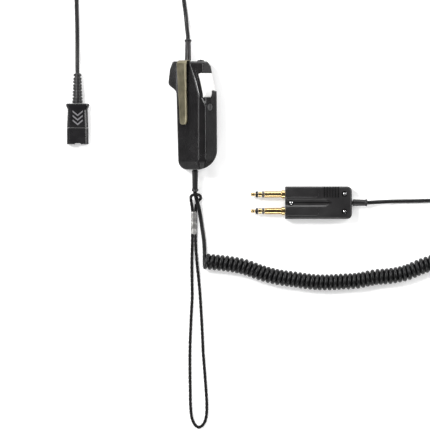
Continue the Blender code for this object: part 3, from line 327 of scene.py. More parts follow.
def jacket_tree():
    """A jacket drawn along a line of points, as wide at each as its own width says, with a braid's
    crossed strands raised on it where it has any."""
    tree, given = new_tree("Cord jacket", [("Sides", "Int", 16), ("Strands", "Int", 4),
                                           ("Strand Pitch", "Float", 0.004), ("Relief", "Float", 0.0)])
    line = add_node(tree, "GeometryNodeMeshToCurve", {0: given["Geometry"]})
    place = add_node(tree, "GeometryNodeSplineParameter")
    line = add_node(tree, "GeometryNodeStoreNamedAttribute",
                    {0: line.outputs[0], "Name": "along", "Value": place.outputs["Length"]})
    ring = add_node(tree, "GeometryNodeCurvePrimitiveCircle", {"Resolution": given["Sides"], "Radius": 1.0})
    ring = add_node(tree, "GeometryNodeStoreNamedAttribute",
                    {0: ring.outputs[0], "Name": "around", "Value": place.outputs["Factor"]})
    width = add_node(tree, "GeometryNodeInputNamedAttribute", {"Name": "width"}, data_type="FLOAT")
    skin = add_node(tree, "GeometryNodeCurveToMesh",
                    {"Curve": line.outputs[0], "Profile Curve": ring.outputs[0],
                     "Scale": width.outputs[0], "Fill Caps": True})
    along = add_node(tree, "GeometryNodeInputNamedAttribute", {"Name": "along"}, data_type="FLOAT")
    around = add_node(tree, "GeometryNodeInputNamedAttribute", {"Name": "around"}, data_type="FLOAT")
    turn = maths(tree, "MULTIPLY", maths(tree, "MULTIPLY", around.outputs[0], given["Strands"]), math.tau)
    travel = maths(tree, "MULTIPLY", maths(tree, "DIVIDE", along.outputs[0], given["Strand Pitch"]), math.tau)
    right = maths(tree, "COSINE", maths(tree, "ADD", turn, travel))
    left = maths(tree, "COSINE", maths(tree, "SUBTRACT", turn, travel))
    crossing = maths(tree, "MULTIPLY", maths(tree, "SINE", turn), maths(tree, "SINE", travel))
    height = maths(tree, "ADD", maths(tree, "MAXIMUM", right, left), maths(tree, "MULTIPLY", crossing, 0.35))
    skin = add_node(tree, "GeometryNodeStoreNamedAttribute",
                    {0: skin.outputs[0], "Name": "strand", "Value": height})
    normal = add_node(tree, "GeometryNodeInputNormal")
    rise = add_node(tree, "ShaderNodeVectorMath",
                    {0: normal.outputs[0], "Scale": maths(tree, "MULTIPLY", height, given["Relief"])},
                    operation="SCALE")
    skin = add_node(tree, "GeometryNodeSetPosition", {0: skin.outputs[0], "Offset": rise.outputs[0]})
    return close_tree(tree, given, skin.outputs[0])


def row_tree():
    """The same piece again and again along a line, a little smaller or larger each time."""
    tree, given = new_tree("Row", [("Count", "Int", 4), ("Step", "Vector", (0.001, 0.0, 0.0)),
                                   ("Last Size", "Vector", (1.0, 1.0, 1.0))])
    row = add_node(tree, "GeometryNodeMeshLine", {"Count": given["Count"], "Offset": given["Step"]})
    index = add_node(tree, "GeometryNodeInputIndex")
    share = maths(tree, "DIVIDE", index.outputs[0], maths(tree, "SUBTRACT", given["Count"], 1.0))
    size = add_node(tree, "ShaderNodeMix", {"Factor": share, 4: (1.0, 1.0, 1.0), 5: given["Last Size"]},
                    data_type="VECTOR")
    made = add_node(tree, "GeometryNodeInstanceOnPoints",
                    {"Points": row.outputs[0], "Instance": given["Geometry"], "Scale": size.outputs[1]})
    return close_tree(tree, given, made.outputs[0])


def knurl_tree():
    """A disc with rounded teeth set round its rim."""
    tree, given = new_tree("Knurled rim", [("Teeth", "Int", 24), ("Rim", "Float", 0.005),
                                           ("Tooth Radius", "Float", 0.0004), ("Height", "Float", 0.004)])
    rim = add_node(tree, "GeometryNodeMeshCircle", {"Vertices": given["Teeth"], "Radius": given["Rim"]})
    tooth = add_node(tree, "GeometryNodeMeshCylinder", {"Vertices": 10, "Radius": given["Tooth Radius"],
                                                        "Depth": given["Height"]})
    teeth = add_node(tree, "GeometryNodeInstanceOnPoints",
                     {"Points": rim.outputs[0], "Instance": tooth.outputs[0]})
    both = add_node(tree, "GeometryNodeJoinGeometry")
    tree.links.new(given["Geometry"], both.inputs[0])
    tree.links.new(teeth.outputs[0], both.inputs[0])
    return close_tree(tree, given, both.outputs[0])


def groove_tree():
    """A row of grip grooves cut into a shell."""
    tree, given = new_tree("Grip grooves", [("Count", "Int", 6), ("First", "Vector", (0.0, 0.0, 0.0)),
                                            ("Pitch", "Float", 0.0026),
                                            ("Groove", "Vector", (0.001, 0.02, 0.002))])
    step = add_node(tree, "ShaderNodeCombineXYZ", {"X": given["Pitch"]})
    row = add_node(tree, "GeometryNodeMeshLine",
                   {"Count": given["Count"], "Start Location": given["First"], "Offset": step.outputs[0]})
    block = add_node(tree, "GeometryNodeMeshCube", {"Size": given["Groove"]})
    cuts = add_node(tree, "GeometryNodeInstanceOnPoints",
                    {"Points": row.outputs[0], "Instance": block.outputs[0]})
    cuts = add_node(tree, "GeometryNodeRealizeInstances", {0: cuts.outputs[0]})
    left = add_node(tree, "GeometryNodeMeshBoolean", {"Mesh 1": given["Geometry"], "Mesh 2": cuts.outputs[0]},
                    operation="DIFFERENCE", solver="EXACT")
    return close_tree(tree, given, left.outputs[0])


def screw_tree():
    """A slotted screw at each point, each with its slot turned its own way."""
    tree, given = new_tree("Slotted screws", [("Screw", "Object", None), ("Lean", "Rotation", None),
                                              ("Seed", "Int", 4)])
    screw = add_node(tree, "GeometryNodeObjectInfo", {"Object": given["Screw"]})
    turn = add_node(tree, "FunctionNodeRandomValue", {2: 0.0, 3: math.pi, "Seed": given["Seed"]},
                    data_type="FLOAT")
    spin = add_node(tree, "ShaderNodeCombineXYZ", {"Z": turn.outputs[1]})
    spin = add_node(tree, "FunctionNodeEulerToRotation", {0: spin.outputs[0]})
    lean = add_node(tree, "FunctionNodeRotateRotation", {0: given["Lean"], 1: spin.outputs[0]},
                    rotation_space="LOCAL")
    made = add_node(tree, "GeometryNodeInstanceOnPoints",
                    {"Points": given["Geometry"], "Instance": screw.outputs["Geometry"],
                     "Rotation": lean.outputs[0]})
    return close_tree(tree, given, made.outputs[0])


# ---------------------------------------------------------------- solids
def add(name, mesh, place=WORLD):
    """A piece with its place in its mesh and its object at the origin."""
    if place != WORLD:
        mesh.transform(place)
    piece = bpy.data.objects.new(name, mesh)
    bpy.context.scene.collection.objects.link(piece)
    return piece


def baked(piece):
    """The piece with its modifiers applied, as a new plain mesh object of the same name."""
    bpy.context.view_layer.update()
    mesh = bpy.data.meshes.new_from_object(piece.evaluated_get(bpy.context.evaluated_depsgraph_get()))
    name = piece.name
    bpy.data.objects.remove(piece)
    mesh.name = name
    return add(name, mesh)


def from_bmesh(name, shape, place=WORLD):
    bmesh.ops.recalc_face_normals(shape, faces=shape.faces)
    mesh = bpy.data.meshes.new(name)
    shape.to_mesh(mesh)
    shape.free()
    return add(name, mesh, place)


def skin(name, rings, place=WORLD, capped=True):
    """A solid through rings of points. A ring that is one point is a pole."""
    shape = bmesh.new()
    loops = [[shape.verts.new(point) for point in ring] for ring in rings]
    for lower, upper in zip(loops, loops[1:]):
        for index in range(max(len(lower), len(upper))):
            following = index + 1
            corners = [lower[index % len(lower)], lower[following % len(lower)],
                       upper[following % len(upper)], upper[index % len(upper)]]
            shape.faces.new(list(dict.fromkeys(corners)))
    for loop in (loops[0], loops[-1]):
        if capped and len(loop) > 2:
            shape.faces.new(loop)
    return from_bmesh(name, shape, place)


def turned(name, profile, place=WORLD, sides=48):
    """A turned solid about Z through (radius, z) points. A radius of 0 is a pole."""
    circle = [(math.cos(math.tau * i / sides), math.sin(math.tau * i / sides)) for i in range(sides)]
    rings = [[(0.0, 0.0, z)] if radius == 0 else [(radius * x, radius * y, z) for x, y in circle]
             for radius, z in profile]
    return skin(name, rings, place)


def ringed(name, profile, place=WORLD, sides=48):
    """A turned ring about Z: the profile is a closed outline of (radius, z) points."""
    circle = [(math.cos(math.tau * i / sides), math.sin(math.tau * i / sides)) for i in range(sides)]
    rings = [[(radius * x, radius * y, z) for x, y in circle] for radius, z in profile]
    piece = skin(name, rings + rings[:1], capped=False)
    return welded(piece, place)


def welded(piece, place=WORLD):
    shape = bmesh.new()
    shape.from_mesh(piece.data)
    bmesh.ops.remove_doubles(shape, verts=shape.verts, dist=WELD)
    bmesh.ops.recalc_face_normals(shape, faces=shape.faces)
    shape.to_mesh(piece.data)
    shape.free()
    piece.data.transform(place)
    return piece


def plate(name, outline, low, high, place=WORLD):
    """A flat outline given thickness from low to high along Z."""
    return skin(name, [[(x, y, z) for x, y in outline] for z in (low, high)], place)


def block(name, low, high, place=WORLD):
    (a, b, c), (d, e, f) = low, high
    return plate(name, [(a, b), (d, b), (d, e), (a, e)], c, f, place)


def rod(name, radius, low, high, place=WORLD, centre=(0.0, 0.0), sides=40):
    outline = [(centre[0] + radius * math.cos(math.tau * i / sides),
                centre[1] + radius * math.sin(math.tau * i / sides)) for i in range(sides)]
    return plate(name, outline, low, high, place)


def combine(piece, tools, operation):
    """Cuts, joins or trims the piece with tools, which are used up."""
    for tool in tools:
        modifier = piece.modifiers.new(operation.title(), "BOOLEAN")
        modifier.operation, modifier.solver, modifier.object = operation, "EXACT", tool
        piece = baked(piece)
        bpy.data.objects.remove(tool)
    return piece


def softened(piece, width, segments=3, angle=32.0):
    """Rounds off the piece's hard edges."""
    shape = bmesh.new()
    shape.from_mesh(piece.data)
    bmesh.ops.remove_doubles(shape, verts=shape.verts, dist=WELD)
    bmesh.ops.dissolve_limit(shape, angle_limit=math.radians(0.6), verts=shape.verts, edges=shape.edges)
    shape.to_mesh(piece.data)
    shape.free()
    bevel = piece.modifiers.new("Edges", "BEVEL")
    bevel.width, bevel.segments, bevel.limit_method = width, segments, "ANGLE"
    bevel.angle_limit, bevel.use_clamp_overlap = math.radians(angle), True
    return baked(piece)


def copied(node, name):
    """A CAD node's shape as a merged mesh to work on."""
    shape = bmesh.new()
    shape.from_mesh(NODES[node].data)
    bmesh.ops.remove_doubles(shape, verts=shape.verts, dist=WELD)
    mesh = bpy.data.meshes.new(name)
    shape.to_mesh(mesh)
    shape.free()
    return add(name, mesh)


def threaded(name, line, widths):
    """A bare line of points, each with its width, for the cord jacket tree."""
    mesh = bpy.data.meshes.new(name)
    mesh.from_pydata([tuple(point) for point in line], [(i, i + 1) for i in range(len(line) - 1)], [])
    widths = widths if isinstance(widths, list) else [widths] * len(line)
    mesh.attributes.new("width", "FLOAT", "POINT").data.foreach_set("value", widths)
    return add(name, mesh)


def fitted(piece, finish, body="root", nodes=(), crease=38.0):
    """Gives a finished piece its material, shading and body, and hides the CAD nodes it stands for."""
    piece.data.materials.clear()
    piece.data.materials.append(finish)
    piece.data.shade_smooth()
    piece.data.set_sharp_from_angle(angle=math.radians(crease))
    flats = piece.modifiers.new("Flats", "WEIGHTED_NORMAL")
    flats.keep_sharp, flats.weight = True, 90
    piece = baked(piece)
    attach(piece, body)
    if nodes:
        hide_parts(*nodes)
    return piece


# ---------------------------------------------------------------- finishes
def paint(red, green, blue):
    """A colour from its screen values, 0 to 255."""
    return (*((value / 255 / 12.92 if value < 11 else ((value / 255 + 0.055) / 1.055) ** 2.4)
              for value in (red, green, blue)), 1.0)


def surface(name, slot, dark, light, rough, grain, depth, blotch=60.0, stretch=(1.0, 1.0, 1.0),
            turn=(0.0, 0.0, 0.0), relief=None, **constants):
    """A finish with a fine grain, slow changes of colour and gloss, and fixed shader values.

    Grain and blotch are in features per metre, and depth is the grain's height in metres. Relief is a
    function that adds a further height from the tree and its coordinates."""
    material = bpy.data.materials.new(name)
    material["slot"] = slot
    material.use_nodes = True
    tree = material.node_tree
    shader = tree.nodes["Principled BSDF"]
    for socket, value in constants.items():
        shader.inputs[socket.replace("_", " ")].default_value = value
    where = add_node(tree, "ShaderNodeTexCoord").outputs["Object"]
    along = add_node(tree, "ShaderNodeMapping",
                     {"Vector": where, "Rotation": turn, "Scale": stretch}).outputs[0]
    fine = add_node(tree, "ShaderNodeTexNoise", {"Vector": along, "Scale": grain, "Detail": 3.0}).outputs[0]
    broad = add_node(tree, "ShaderNodeTexNoise", {"Vector": where, "Scale": blotch, "Detail": 4.0,
                                                  "Roughness": 0.6}).outputs[0]
    share = maths(tree, "ADD", maths(tree, "MULTIPLY", broad, 0.65), maths(tree, "MULTIPLY", fine, 0.35))
    spread = add_node(tree, "ShaderNodeMapRange", {0: share, 1: 0.35, 2: 0.65, 3: 0.0, 4: 1.0}).outputs[0]
    colour = add_node(tree, "ShaderNodeMix", {"Factor": spread, 6: dark, 7: light}, data_type="RGBA")
    tree.links.new(colour.outputs[2], shader.inputs["Base Color"])
    gloss = add_node(tree, "ShaderNodeMapRange", {0: broad, 1: 0.3, 2: 0.7, 3: rough[0], 4: rough[1]})
    tree.links.new(gloss.outputs[0], shader.inputs["Roughness"])
    height = maths(tree, "MULTIPLY", fine, depth)
    if relief:
        height = maths(tree, "ADD", height, relief(tree, where))
    bump = add_node(tree, "ShaderNodeBump", {"Height": height, "Distance": 1.0, "Strength": 1.0})
    tree.links.new(bump.outputs[0], shader.inputs["Normal"])
    return material


def lathe_lines(tree, where):
    """The fine rings that turning leaves round a prong."""
    rings = add_node(tree, "ShaderNodeTexWave", {"Vector": where, "Scale": 900.0, "Distortion": 1.5,
                                                 "Detail": 2.0, "Detail Scale": 3.0}, bands_direction="X")
    return maths(tree, "MULTIPLY", rings.outputs["Fac"], 2.5e-6)


def braid_fibres(tree, where):
    """Fibres lying in the braid's raised strands, from the strand height kept on the piece."""
    strand = add_node(tree, "ShaderNodeAttribute", attribute_name="strand").outputs["Fac"]
    return maths(tree, "MULTIPLY", strand, 4e-5)


def copper_tracks(tree, where):
    """Tracks standing a little proud of the circuit board."""
    tracks = add_node(tree, "ShaderNodeTexBrick", {"Vector": where, "Scale": 260.0, "Mortar Size": 0.06})
    return maths(tree, "MULTIPLY", tracks.outputs["Fac"], 4e-5)


MOULDED_BLACK = surface("moulded_black", "black_plastic", paint(15, 14, 15), paint(21, 20, 21), (0.20, 0.30),
                        3200.0, 1.2e-5, Specular_IOR_Level=0.45)
CONNECTOR_BLACK = surface("connector_black", "black_plastic", paint(15, 14, 16), paint(22, 21, 23),
                          (0.20, 0.32), 2600.0, 1.4e-5, Specular_IOR_Level=0.45)
PLUG_BLACK = surface("plug_black", "black_plastic", paint(25, 24, 25), paint(33, 32, 33), (0.28, 0.38),
                     2400.0, 2.0e-5, Specular_IOR_Level=0.5)
TRIMMER_BLACK = surface("trimmer_black", "black_plastic", paint(52, 52, 53), paint(64, 64, 65), (0.40, 0.52),
                        3200.0, 1.2e-5, Specular_IOR_Level=0.5)
WHEEL_BLACK = surface("thumbwheel_black", "black_plastic", paint(24, 24, 25), paint(32, 32, 33), (0.12, 0.20),
                      3200.0, 6e-6, Specular_IOR_Level=0.8)
PADDLE_WHITE = surface("paddle_white", "white_plastic", paint(216, 216, 214), paint(223, 223, 222),
                       (0.28, 0.38), 1800.0, 5e-6, Specular_IOR_Level=0.5)
BOOT_RUBBER = surface("boot_rubber", "black_rubber", paint(19, 18, 19), paint(27, 26, 27), (0.32, 0.44),
                      2800.0, 1.6e-5, Specular_IOR_Level=0.4)
CORD_JACKET = surface("cord_jacket_black", "cord_jacket", paint(12, 12, 13), paint(18, 18, 19), (0.30, 0.42),
                      1500.0, 1.0e-5, blotch=90.0, Specular_IOR_Level=0.3)
BRAID = surface("braided_lanyard", "braid", paint(6, 5, 6), paint(16, 14, 15), (0.7, 0.9), 5200.0, 3.0e-5,
                blotch=700.0, relief=braid_fibres, Sheen_Weight=0.05, Sheen_Roughness=0.5,
                Specular_IOR_Level=0.2)
CLIP_STEEL = surface("brushed_clip_steel", "clip_steel", paint(117, 111, 92), paint(139, 133, 112),
                     (0.30, 0.40), 900.0, 2.5e-6, blotch=120.0, stretch=(5.0, 0.12, 5.0), Metallic=1.0)
SCREW_STEEL = surface("bright_screw_steel", "screw_steel", paint(196, 196, 198), paint(222, 222, 224),
                      (0.18, 0.30), 2600.0, 3e-6, Metallic=1.0)
FERRULE_METAL = surface("crimped_ferrule_metal", "ferrule_metal", paint(150, 149, 147), paint(190, 189, 187),
                        (0.32, 0.46), 1400.0, 6e-6, stretch=(4.0, 0.5, 4.0), Metallic=1.0)
GOLD = surface("polished_gold_plate", "gold_plate", paint(170, 147, 102), paint(196, 174, 130), (0.14, 0.24),
               2000.0, 1e-6, relief=lathe_lines, Metallic=1.0)
INSULATOR = surface("prong_insulator", "insulator", paint(8, 8, 9), paint(14, 14, 15), (0.28, 0.40),
                    2200.0, 4e-6, Specular_IOR_Level=0.3)
BOARD = surface("lacquered_board", "board_green", paint(22, 74, 44), paint(36, 104, 62), (0.30, 0.45),
                1500.0, 5e-6, relief=copper_tracks)
PART_GREY = surface("inner_part_grey", "grey_plastic", paint(98, 98, 100), paint(122, 122, 124), (0.42, 0.55),
                    2400.0, 1.2e-5)
MARK_GREY = surface("printed_mark_grey", "grey_plastic", paint(98, 97, 100), paint(114, 113, 116),
                    (0.5, 0.62), 2600.0, 4e-6)

# ---------------------------------------------------------------- camera, lights and floor
VIEW_CENTRE, VIEW_WIDTH, VIEW_DISTANCE = (0.0210, -0.0952), 0.4095, 12.0
FLOOR_REACH, FLOOR_ROUND, FLOOR_LOW, FLOOR_TOP = 12.0, 2.0, -0.0500, -0.0001
WHITE, WORLD_GLOW, FLOOR_GLOW = (1.0, 1.0, 1.0, 1.0), 0.14, 0.22


def studio():
    view = bpy.data.cameras.new("overhead")
    view.sensor_width = 36.0
    view.lens = view.sensor_width * VIEW_DISTANCE / VIEW_WIDTH
    view.clip_start, view.clip_end = 0.05, 60.0
    camera = bpy.data.objects.new("overhead", view)
    camera.location = (*VIEW_CENTRE, VIEW_DISTANCE)
    bpy.context.scene.collection.objects.link(camera)
    bpy.context.scene.camera = camera
    bpy.context.scene.view_settings.view_transform = "Standard"

    for name, place, size, power in (
            ("key_light", (-1.12, 0.73, 2.23), (0.45, 0.45), 38.0),
            ("left_softbox", (-2.05, -0.20, 1.40), (1.6, 0.35), 14.0),
            ("right_softbox", (1.80, 0.75, 1.40), (1.5, 0.45), 34.0),
            ("far_softbox", (0.05, 2.20, 0.98), (1.8, 0.50), 32.0),
            ("near_softbox", (0.00, -2.20, 1.30), (1.7, 0.55), 30.0),
            ("fold_strip", (-1.90, 1.25, 0.95), (0.40, 0.25), 20.0)):
        lamp = bpy.data.lights.new(name, "AREA")
        lamp.shape, lamp.size, lamp.size_y, lamp.energy = "RECTANGLE", *size, power
        lamp_object = bpy.data.objects.new(name, lamp)
        lamp_object.location = place
        lamp_object.rotation_euler = (-Vector(place)).to_track_quat("-Z", "Y").to_euler()
        bpy.context.scene.collection.objects.link(lamp_object)

    world = bpy.data.worlds.new("studio")
    world.use_nodes = True
    world.node_tree.nodes["Background"].inputs["Color"].default_value = WHITE
    world.node_tree.nodes["Background"].inputs["Strength"].default_value = WORLD_GLOW
    bpy.context.scene.world = world

    corners = [(-FLOOR_REACH, -FLOOR_REACH), (FLOOR_REACH, -FLOOR_REACH),
               (FLOOR_REACH, FLOOR_REACH), (-FLOOR_REACH, FLOOR_REACH)]
    floor = plate("floor", rounded([(*corner, FLOOR_ROUND) for corner in corners]), FLOOR_LOW, FLOOR_TOP)
    paper = surface("pale_floor", "white_plastic", (0.90, 0.90, 0.90, 1.0), (0.93, 0.93, 0.93, 1.0),
                    (0.85, 0.95), 300.0, 1e-6, Specular_IOR_Level=0.1)
    shine = paper.node_tree.nodes["Principled BSDF"].inputs
    shine["Emission Color"].default_value = WHITE
    shine["Emission Strength"].default_value = FLOOR_GLOW
    floor.data.materials.append(paper)


# ---------------------------------------------------------------- cords and the lanyard
def cord_piece(name, line, diameter, nodes, finish, sides=16, strands=0, strand_pitch=1.0, relief=0.0):
    bare = threaded(name, line, diameter / 2)
    piece = grown(bare, JACKET, Sides=sides, Strands=strands, Strand_Pitch=strand_pitch, Relief=relief,
                  Finish=finish)
    return fitted(piece, finish, nodes=nodes)


def headset_lead():
    line = smooth(HEADSET_LEAD_ROUTE, 0.0012)
    return cord_piece("headset_lead_cord", line, HEADSET_CORD, ["headset_lead"], CORD_JACKET, 20), line


def console_lead():
    coil = coiled(COIL_ROUTE, COIL_RADIUS, COIL_PITCH, COIL_HEIGHT, COIL_STEPS, CONSOLE_CORD)
    joint_in = CONSOLE_LEAD_UPPER_ROUTE + [tuple(coil[2]), tuple(coil[4])]
    joint_out = [tuple(coil[-5]), tuple(coil[-3])] + CONSOLE_LEAD_TAIL_ROUTE
    line = smooth(joint_in, 0.0012)[:-1] + coil[4:-5] + smooth(joint_out, 0.0012)
    nodes = ["console_lead_upper", "console_coil", "console_lead_tail"]
    return cord_piece("console_lead_cord", line, CONSOLE_CORD, nodes, CORD_JACKET, 14), line


def lanyard():
    line = smooth(LANYARD_ROUTE, 0.00036)
    piece = cord_piece("wrist_lanyard", line, LANYARD_CORD - 0.00004, ["lanyard_loop", "lanyard_eye"], BRAID,
                       24, 4, 0.0042, 0.00013)
    low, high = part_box("lanyard_ferrule")
    half, thick, middle = (high.x - low.x) / 2, high.z - low.z, (low.x + high.x) / 2
    rings = []
    for share, pinch in ((0.0, 0.62), (0.01, 0.86), (0.03, 0.97), (0.06, 1.0), (0.16, 1.0), (0.20, 0.90),
                         (0.25, 0.84), (0.30, 0.90), (0.34, 1.0), (0.46, 1.0), (0.50, 0.90), (0.55, 0.84),
                         (0.60, 0.90), (0.64, 1.0), (0.78, 1.0), (0.82, 0.92), (0.86, 1.0), (0.94, 1.0),
                         (0.97, 0.97), (0.99, 0.86), (1.0, 0.62)):
        wide, tall = half * (0.6 + 0.4 * pinch), thick / 2 * pinch
        edge = [(-wide, -tall, tall * 0.8), (wide, -tall, tall * 0.8), (wide, tall, tall * 0.8),
                (-wide, tall, tall * 0.8)]
        y = low.y + (high.y - low.y) * share
        rings.append([(middle + x, y, low.z + thick / 2 + z) for x, z in rounded(edge, 6)])
    ferrule = fitted(skin("crimp_ferrule", rings), FERRULE_METAL, nodes=["lanyard_ferrule"], crease=50.0)
    return piece, line, ferrule


def boot(name, x, wall, direction, length, radius, node):
    """A tapered boot that droops to the surface, with a flared collar near its end."""
    collar = length - 0.0015
    line, widths = [], []
    for step in range(-14, 64):
        distance = length * step / 63
        drop = BOOT_DROOP * max(distance, 0.0) ** 2
        line.append((x, wall + direction * distance, ENTRY_HEIGHT - drop))
        if distance < 0.0007:
            widths.append(0.0040 if distance < -0.0033 else 0.0023)
            continue
        flare = 0.00075 * math.exp(-((distance - collar) / 0.0010) ** 2)
        edge = 0.0006 * math.exp(-((distance - 0.0010) / 0.0012) ** 2)
        end = 0.0010 * max(0.0, (distance - length + 0.0010) / 0.0010) ** 2
        widths.append(radius - 0.00035 * distance / length + flare + 0.3 * edge - end)
    piece = grown(threaded(name, line, widths), JACKET, Sides=40, Finish=BOOT_RUBBER)
    return fitted(piece, BOOT_RUBBER, nodes=[node], crease=50.0)


# ---------------------------------------------------------------- the headset connector
def boot_profile():
    """Stations and half widths along the ribbed boot: ribs in pairs, with a deeper groove between pairs."""
    ribs = [0.0129, 0.0159, 0.0190, 0.0219, 0.0251, 0.0282, 0.0314, 0.0345, 0.0380]
    profile = [(BOOT_FOOT, 0.0046), (BOOT_FOOT + 0.0003, 0.0049)]
    for number, middle in enumerate(ribs):
        crest = 0.0050 - 0.0011 * number / (len(ribs) - 1)
        profile += [(middle - 0.00095, crest - 0.00030), (middle - 0.00070, crest - 0.00005), (middle, crest),
                    (middle + 0.00070, crest - 0.00005), (middle + 0.00095, crest - 0.00030)]
        if number < len(ribs) - 1:
            trough = crest - (0.00125 if number % 2 else 0.00065)
            groove = (middle + ribs[number + 1]) / 2
            profile += [(groove - 0.00030, trough + 0.00005), (groove, trough),
                        (groove + 0.00030, trough + 0.00005)]
    return profile + [(BOOT_TIP - 0.0004, 0.0030), (BOOT_TIP, 0.0024)]


def connector_section(y):
    """The connector's section at y: a flat top between two sloping shoulders, and straight sides."""
    flare = 1.0 if y > 0.0094 else 0.5 - 0.5 * math.cos(math.pi * min(max((y - 0.0045) / 0.0049, 0.0), 1.0))
    half = 0.0093 + 0.0009 * min(max((0.0060 - y) / 0.0200, 0.0), 1.0) + 0.0017 * flare
    tall = 0.0046 + 0.0002 * flare
    left, right = -half - 0.0001, half + 0.0001
    upper = [(right, -0.0022), (right, 0.0020), (right - 0.0014, tall - 0.0010), (right - 0.0031, tall),
             (left + 0.0024, tall), (left + 0.0009, tall - 0.0012), (left, 0.0020), (left, -0.0022)]
    lower = [(left + 0.0016, -tall), (right - 0.0016, -tall)]
    return [(x, z, 0.0004) for x, z in upper + lower]


def connector_rings(stations):
    rings = []
    for y, shrink in stations:
        rings.append([(CONNECTOR_X + x * (1 - shrink / 0.0105), y, CONNECTOR_Z + z * (1 - shrink / 0.0047))
                      for x, z in rounded(connector_section(y), 4)])
    return rings


def headset_connector():
    centre = Matrix.Translation((CONNECTOR_X, 0.0, CONNECTOR_Z))
    first, last = CONNECTOR_SPLIT + GAP, 0.0109
    stations = [(first, 0.00008), (first + 0.0001, 0.0)] + [(y, 0.0) for y in spread(-0.0100, 0.0045, 12)]
    stations += [(y, 0.0) for y in spread(0.0045, 0.0096, 16)]
    stations += [(last - 0.0012 * (1 - math.sin(math.pi / 2 * step / 6)),
                  0.0010 * (1 - math.cos(math.pi / 2 * step / 6))) for step in range(7)]
    rear = skin("connector_rear_shell", connector_rings(stations))
    rear = fitted(rear, CONNECTOR_BLACK, nodes=["connector_rear_body"], crease=20.0)

    first, last = CONNECTOR_END, CONNECTOR_SPLIT
    stations = [(first, 0.0005), (first + 0.0002, 0.0002), (first + 0.0006, 0.0)]
    stations += [(y, 0.0) for y in spread(-0.0270, -0.0130, 8)] + [(last - 0.0001, 0.0), (last, 0.00008)]
    sleeve = skin("connector_front_shell", connector_rings(stations))
    outside, notch_end = CONNECTOR_END - 0.01, CONNECTOR_END + 0.0012
    mouth = block("mouth", (-0.0084, outside, -0.0033), (0.0084, CONNECTOR_SPLIT - 0.002, 0.0033), centre)
    notch = [(-0.0031, outside, 0.0002), (0.0031, outside, 0.0002),
             (0.0029, notch_end, 0.0008), (-0.0029, notch_end, 0.0008)]
    sleeve = combine(sleeve, [mouth, plate("notch", rounded(notch), -0.01, 0.01, centre)], "DIFFERENCE")
    sleeve = fitted(sleeve, CONNECTOR_BLACK, nodes=["connector_front_sleeve"], crease=20.0)

    # Three plain chevrons show which way the two halves push together.
    marks = []
    for step in range(3):
        tip = -0.0098 + 0.0043 * step
        arrow = plate("arrow", [(-0.0048, tip + 0.0040), (0.0, tip), (0.0048, tip + 0.0040),
                                (0.0048, tip + 0.0056), (0.0, tip + 0.0016), (-0.0048, tip + 0.0056)],
                      0.0044, 0.00474, centre)
        marks.append(arrow)
    arrow = combine(marks[0], marks[1:], "UNION")
    arrow.name = "direction_arrows"
    fitted(arrow, MARK_GREY)

    rings = []
    for y, wide in boot_profile():
        tall = min(0.0047, 0.0049 - 0.0010 * (y - BOOT_FOOT) / (BOOT_TIP - BOOT_FOOT))
        tall = min(tall, wide + 0.0016)
        rings.append([(CONNECTOR_X - 0.0002 + wide * math.cos(math.tau * step / 48), y,
                       CONNECTOR_Z + tall * math.sin(math.tau * step / 48)) for step in range(48)])
    boot_piece = fitted(skin("ribbed_connector_boot", rings), BOOT_RUBBER, nodes=["connector_boot"],
                        crease=75.0)

    blade = block("contact_blades", (-0.0012, -0.0205, -0.0003), (0.0012, -0.0175, 0.0003))
    blades = grown(softened(blade, 0.0001, 2), ROW, Count=4, Step=(0.0040, 0.0, 0.0), Finish=GOLD)
    blades.data.transform(Matrix.Translation((CONNECTOR_X - 0.0060, 0.0, CONNECTOR_Z)))
    blades = fitted(blades, GOLD, nodes=[f"contact_blade_{number}" for number in range(1, 5)])
    return [rear, sleeve, boot_piece, blades]


# ---------------------------------------------------------------- the twin plug
def valley(name, middle, half, shoulder, tip, depth, slope):
    """A cutter for a flat-bottomed valley with sloping sides, open at the plug's front and pointed behind."""
    rings = []
    for x, share in ((PLUG_FRONT - 0.01, 1.0), (shoulder, 1.0), ((shoulder + tip) / 2, 0.66), (tip, 0.06)):
        wide, floor = half * share, max(half * share - slope, 0.0001)
        rings.append([(x, middle + side * reach, PLUG_HEIGHT + height) for side, reach, height in (
            (-1, floor, -depth), (1, floor, -depth), (1, wide, 0.00002), (1, wide, 0.004), (-1, wide, 0.004),
            (-1, wide, 0.00002))])
    return skin(name, rings)


def plug_outline(margin, front_radius, rear_radius):
    """The plug's outline from above, moved in by a margin."""
    front, rear = PLUG_FRONT + margin, PLUG_REAR - margin
    low, high = PLUG_Y - PLUG_HALF_WIDTH + margin, PLUG_Y + PLUG_HALF_WIDTH - margin
    return [(front, low, front_radius), (rear, low, rear_radius),
            (rear, high, rear_radius), (front, high, front_radius)]


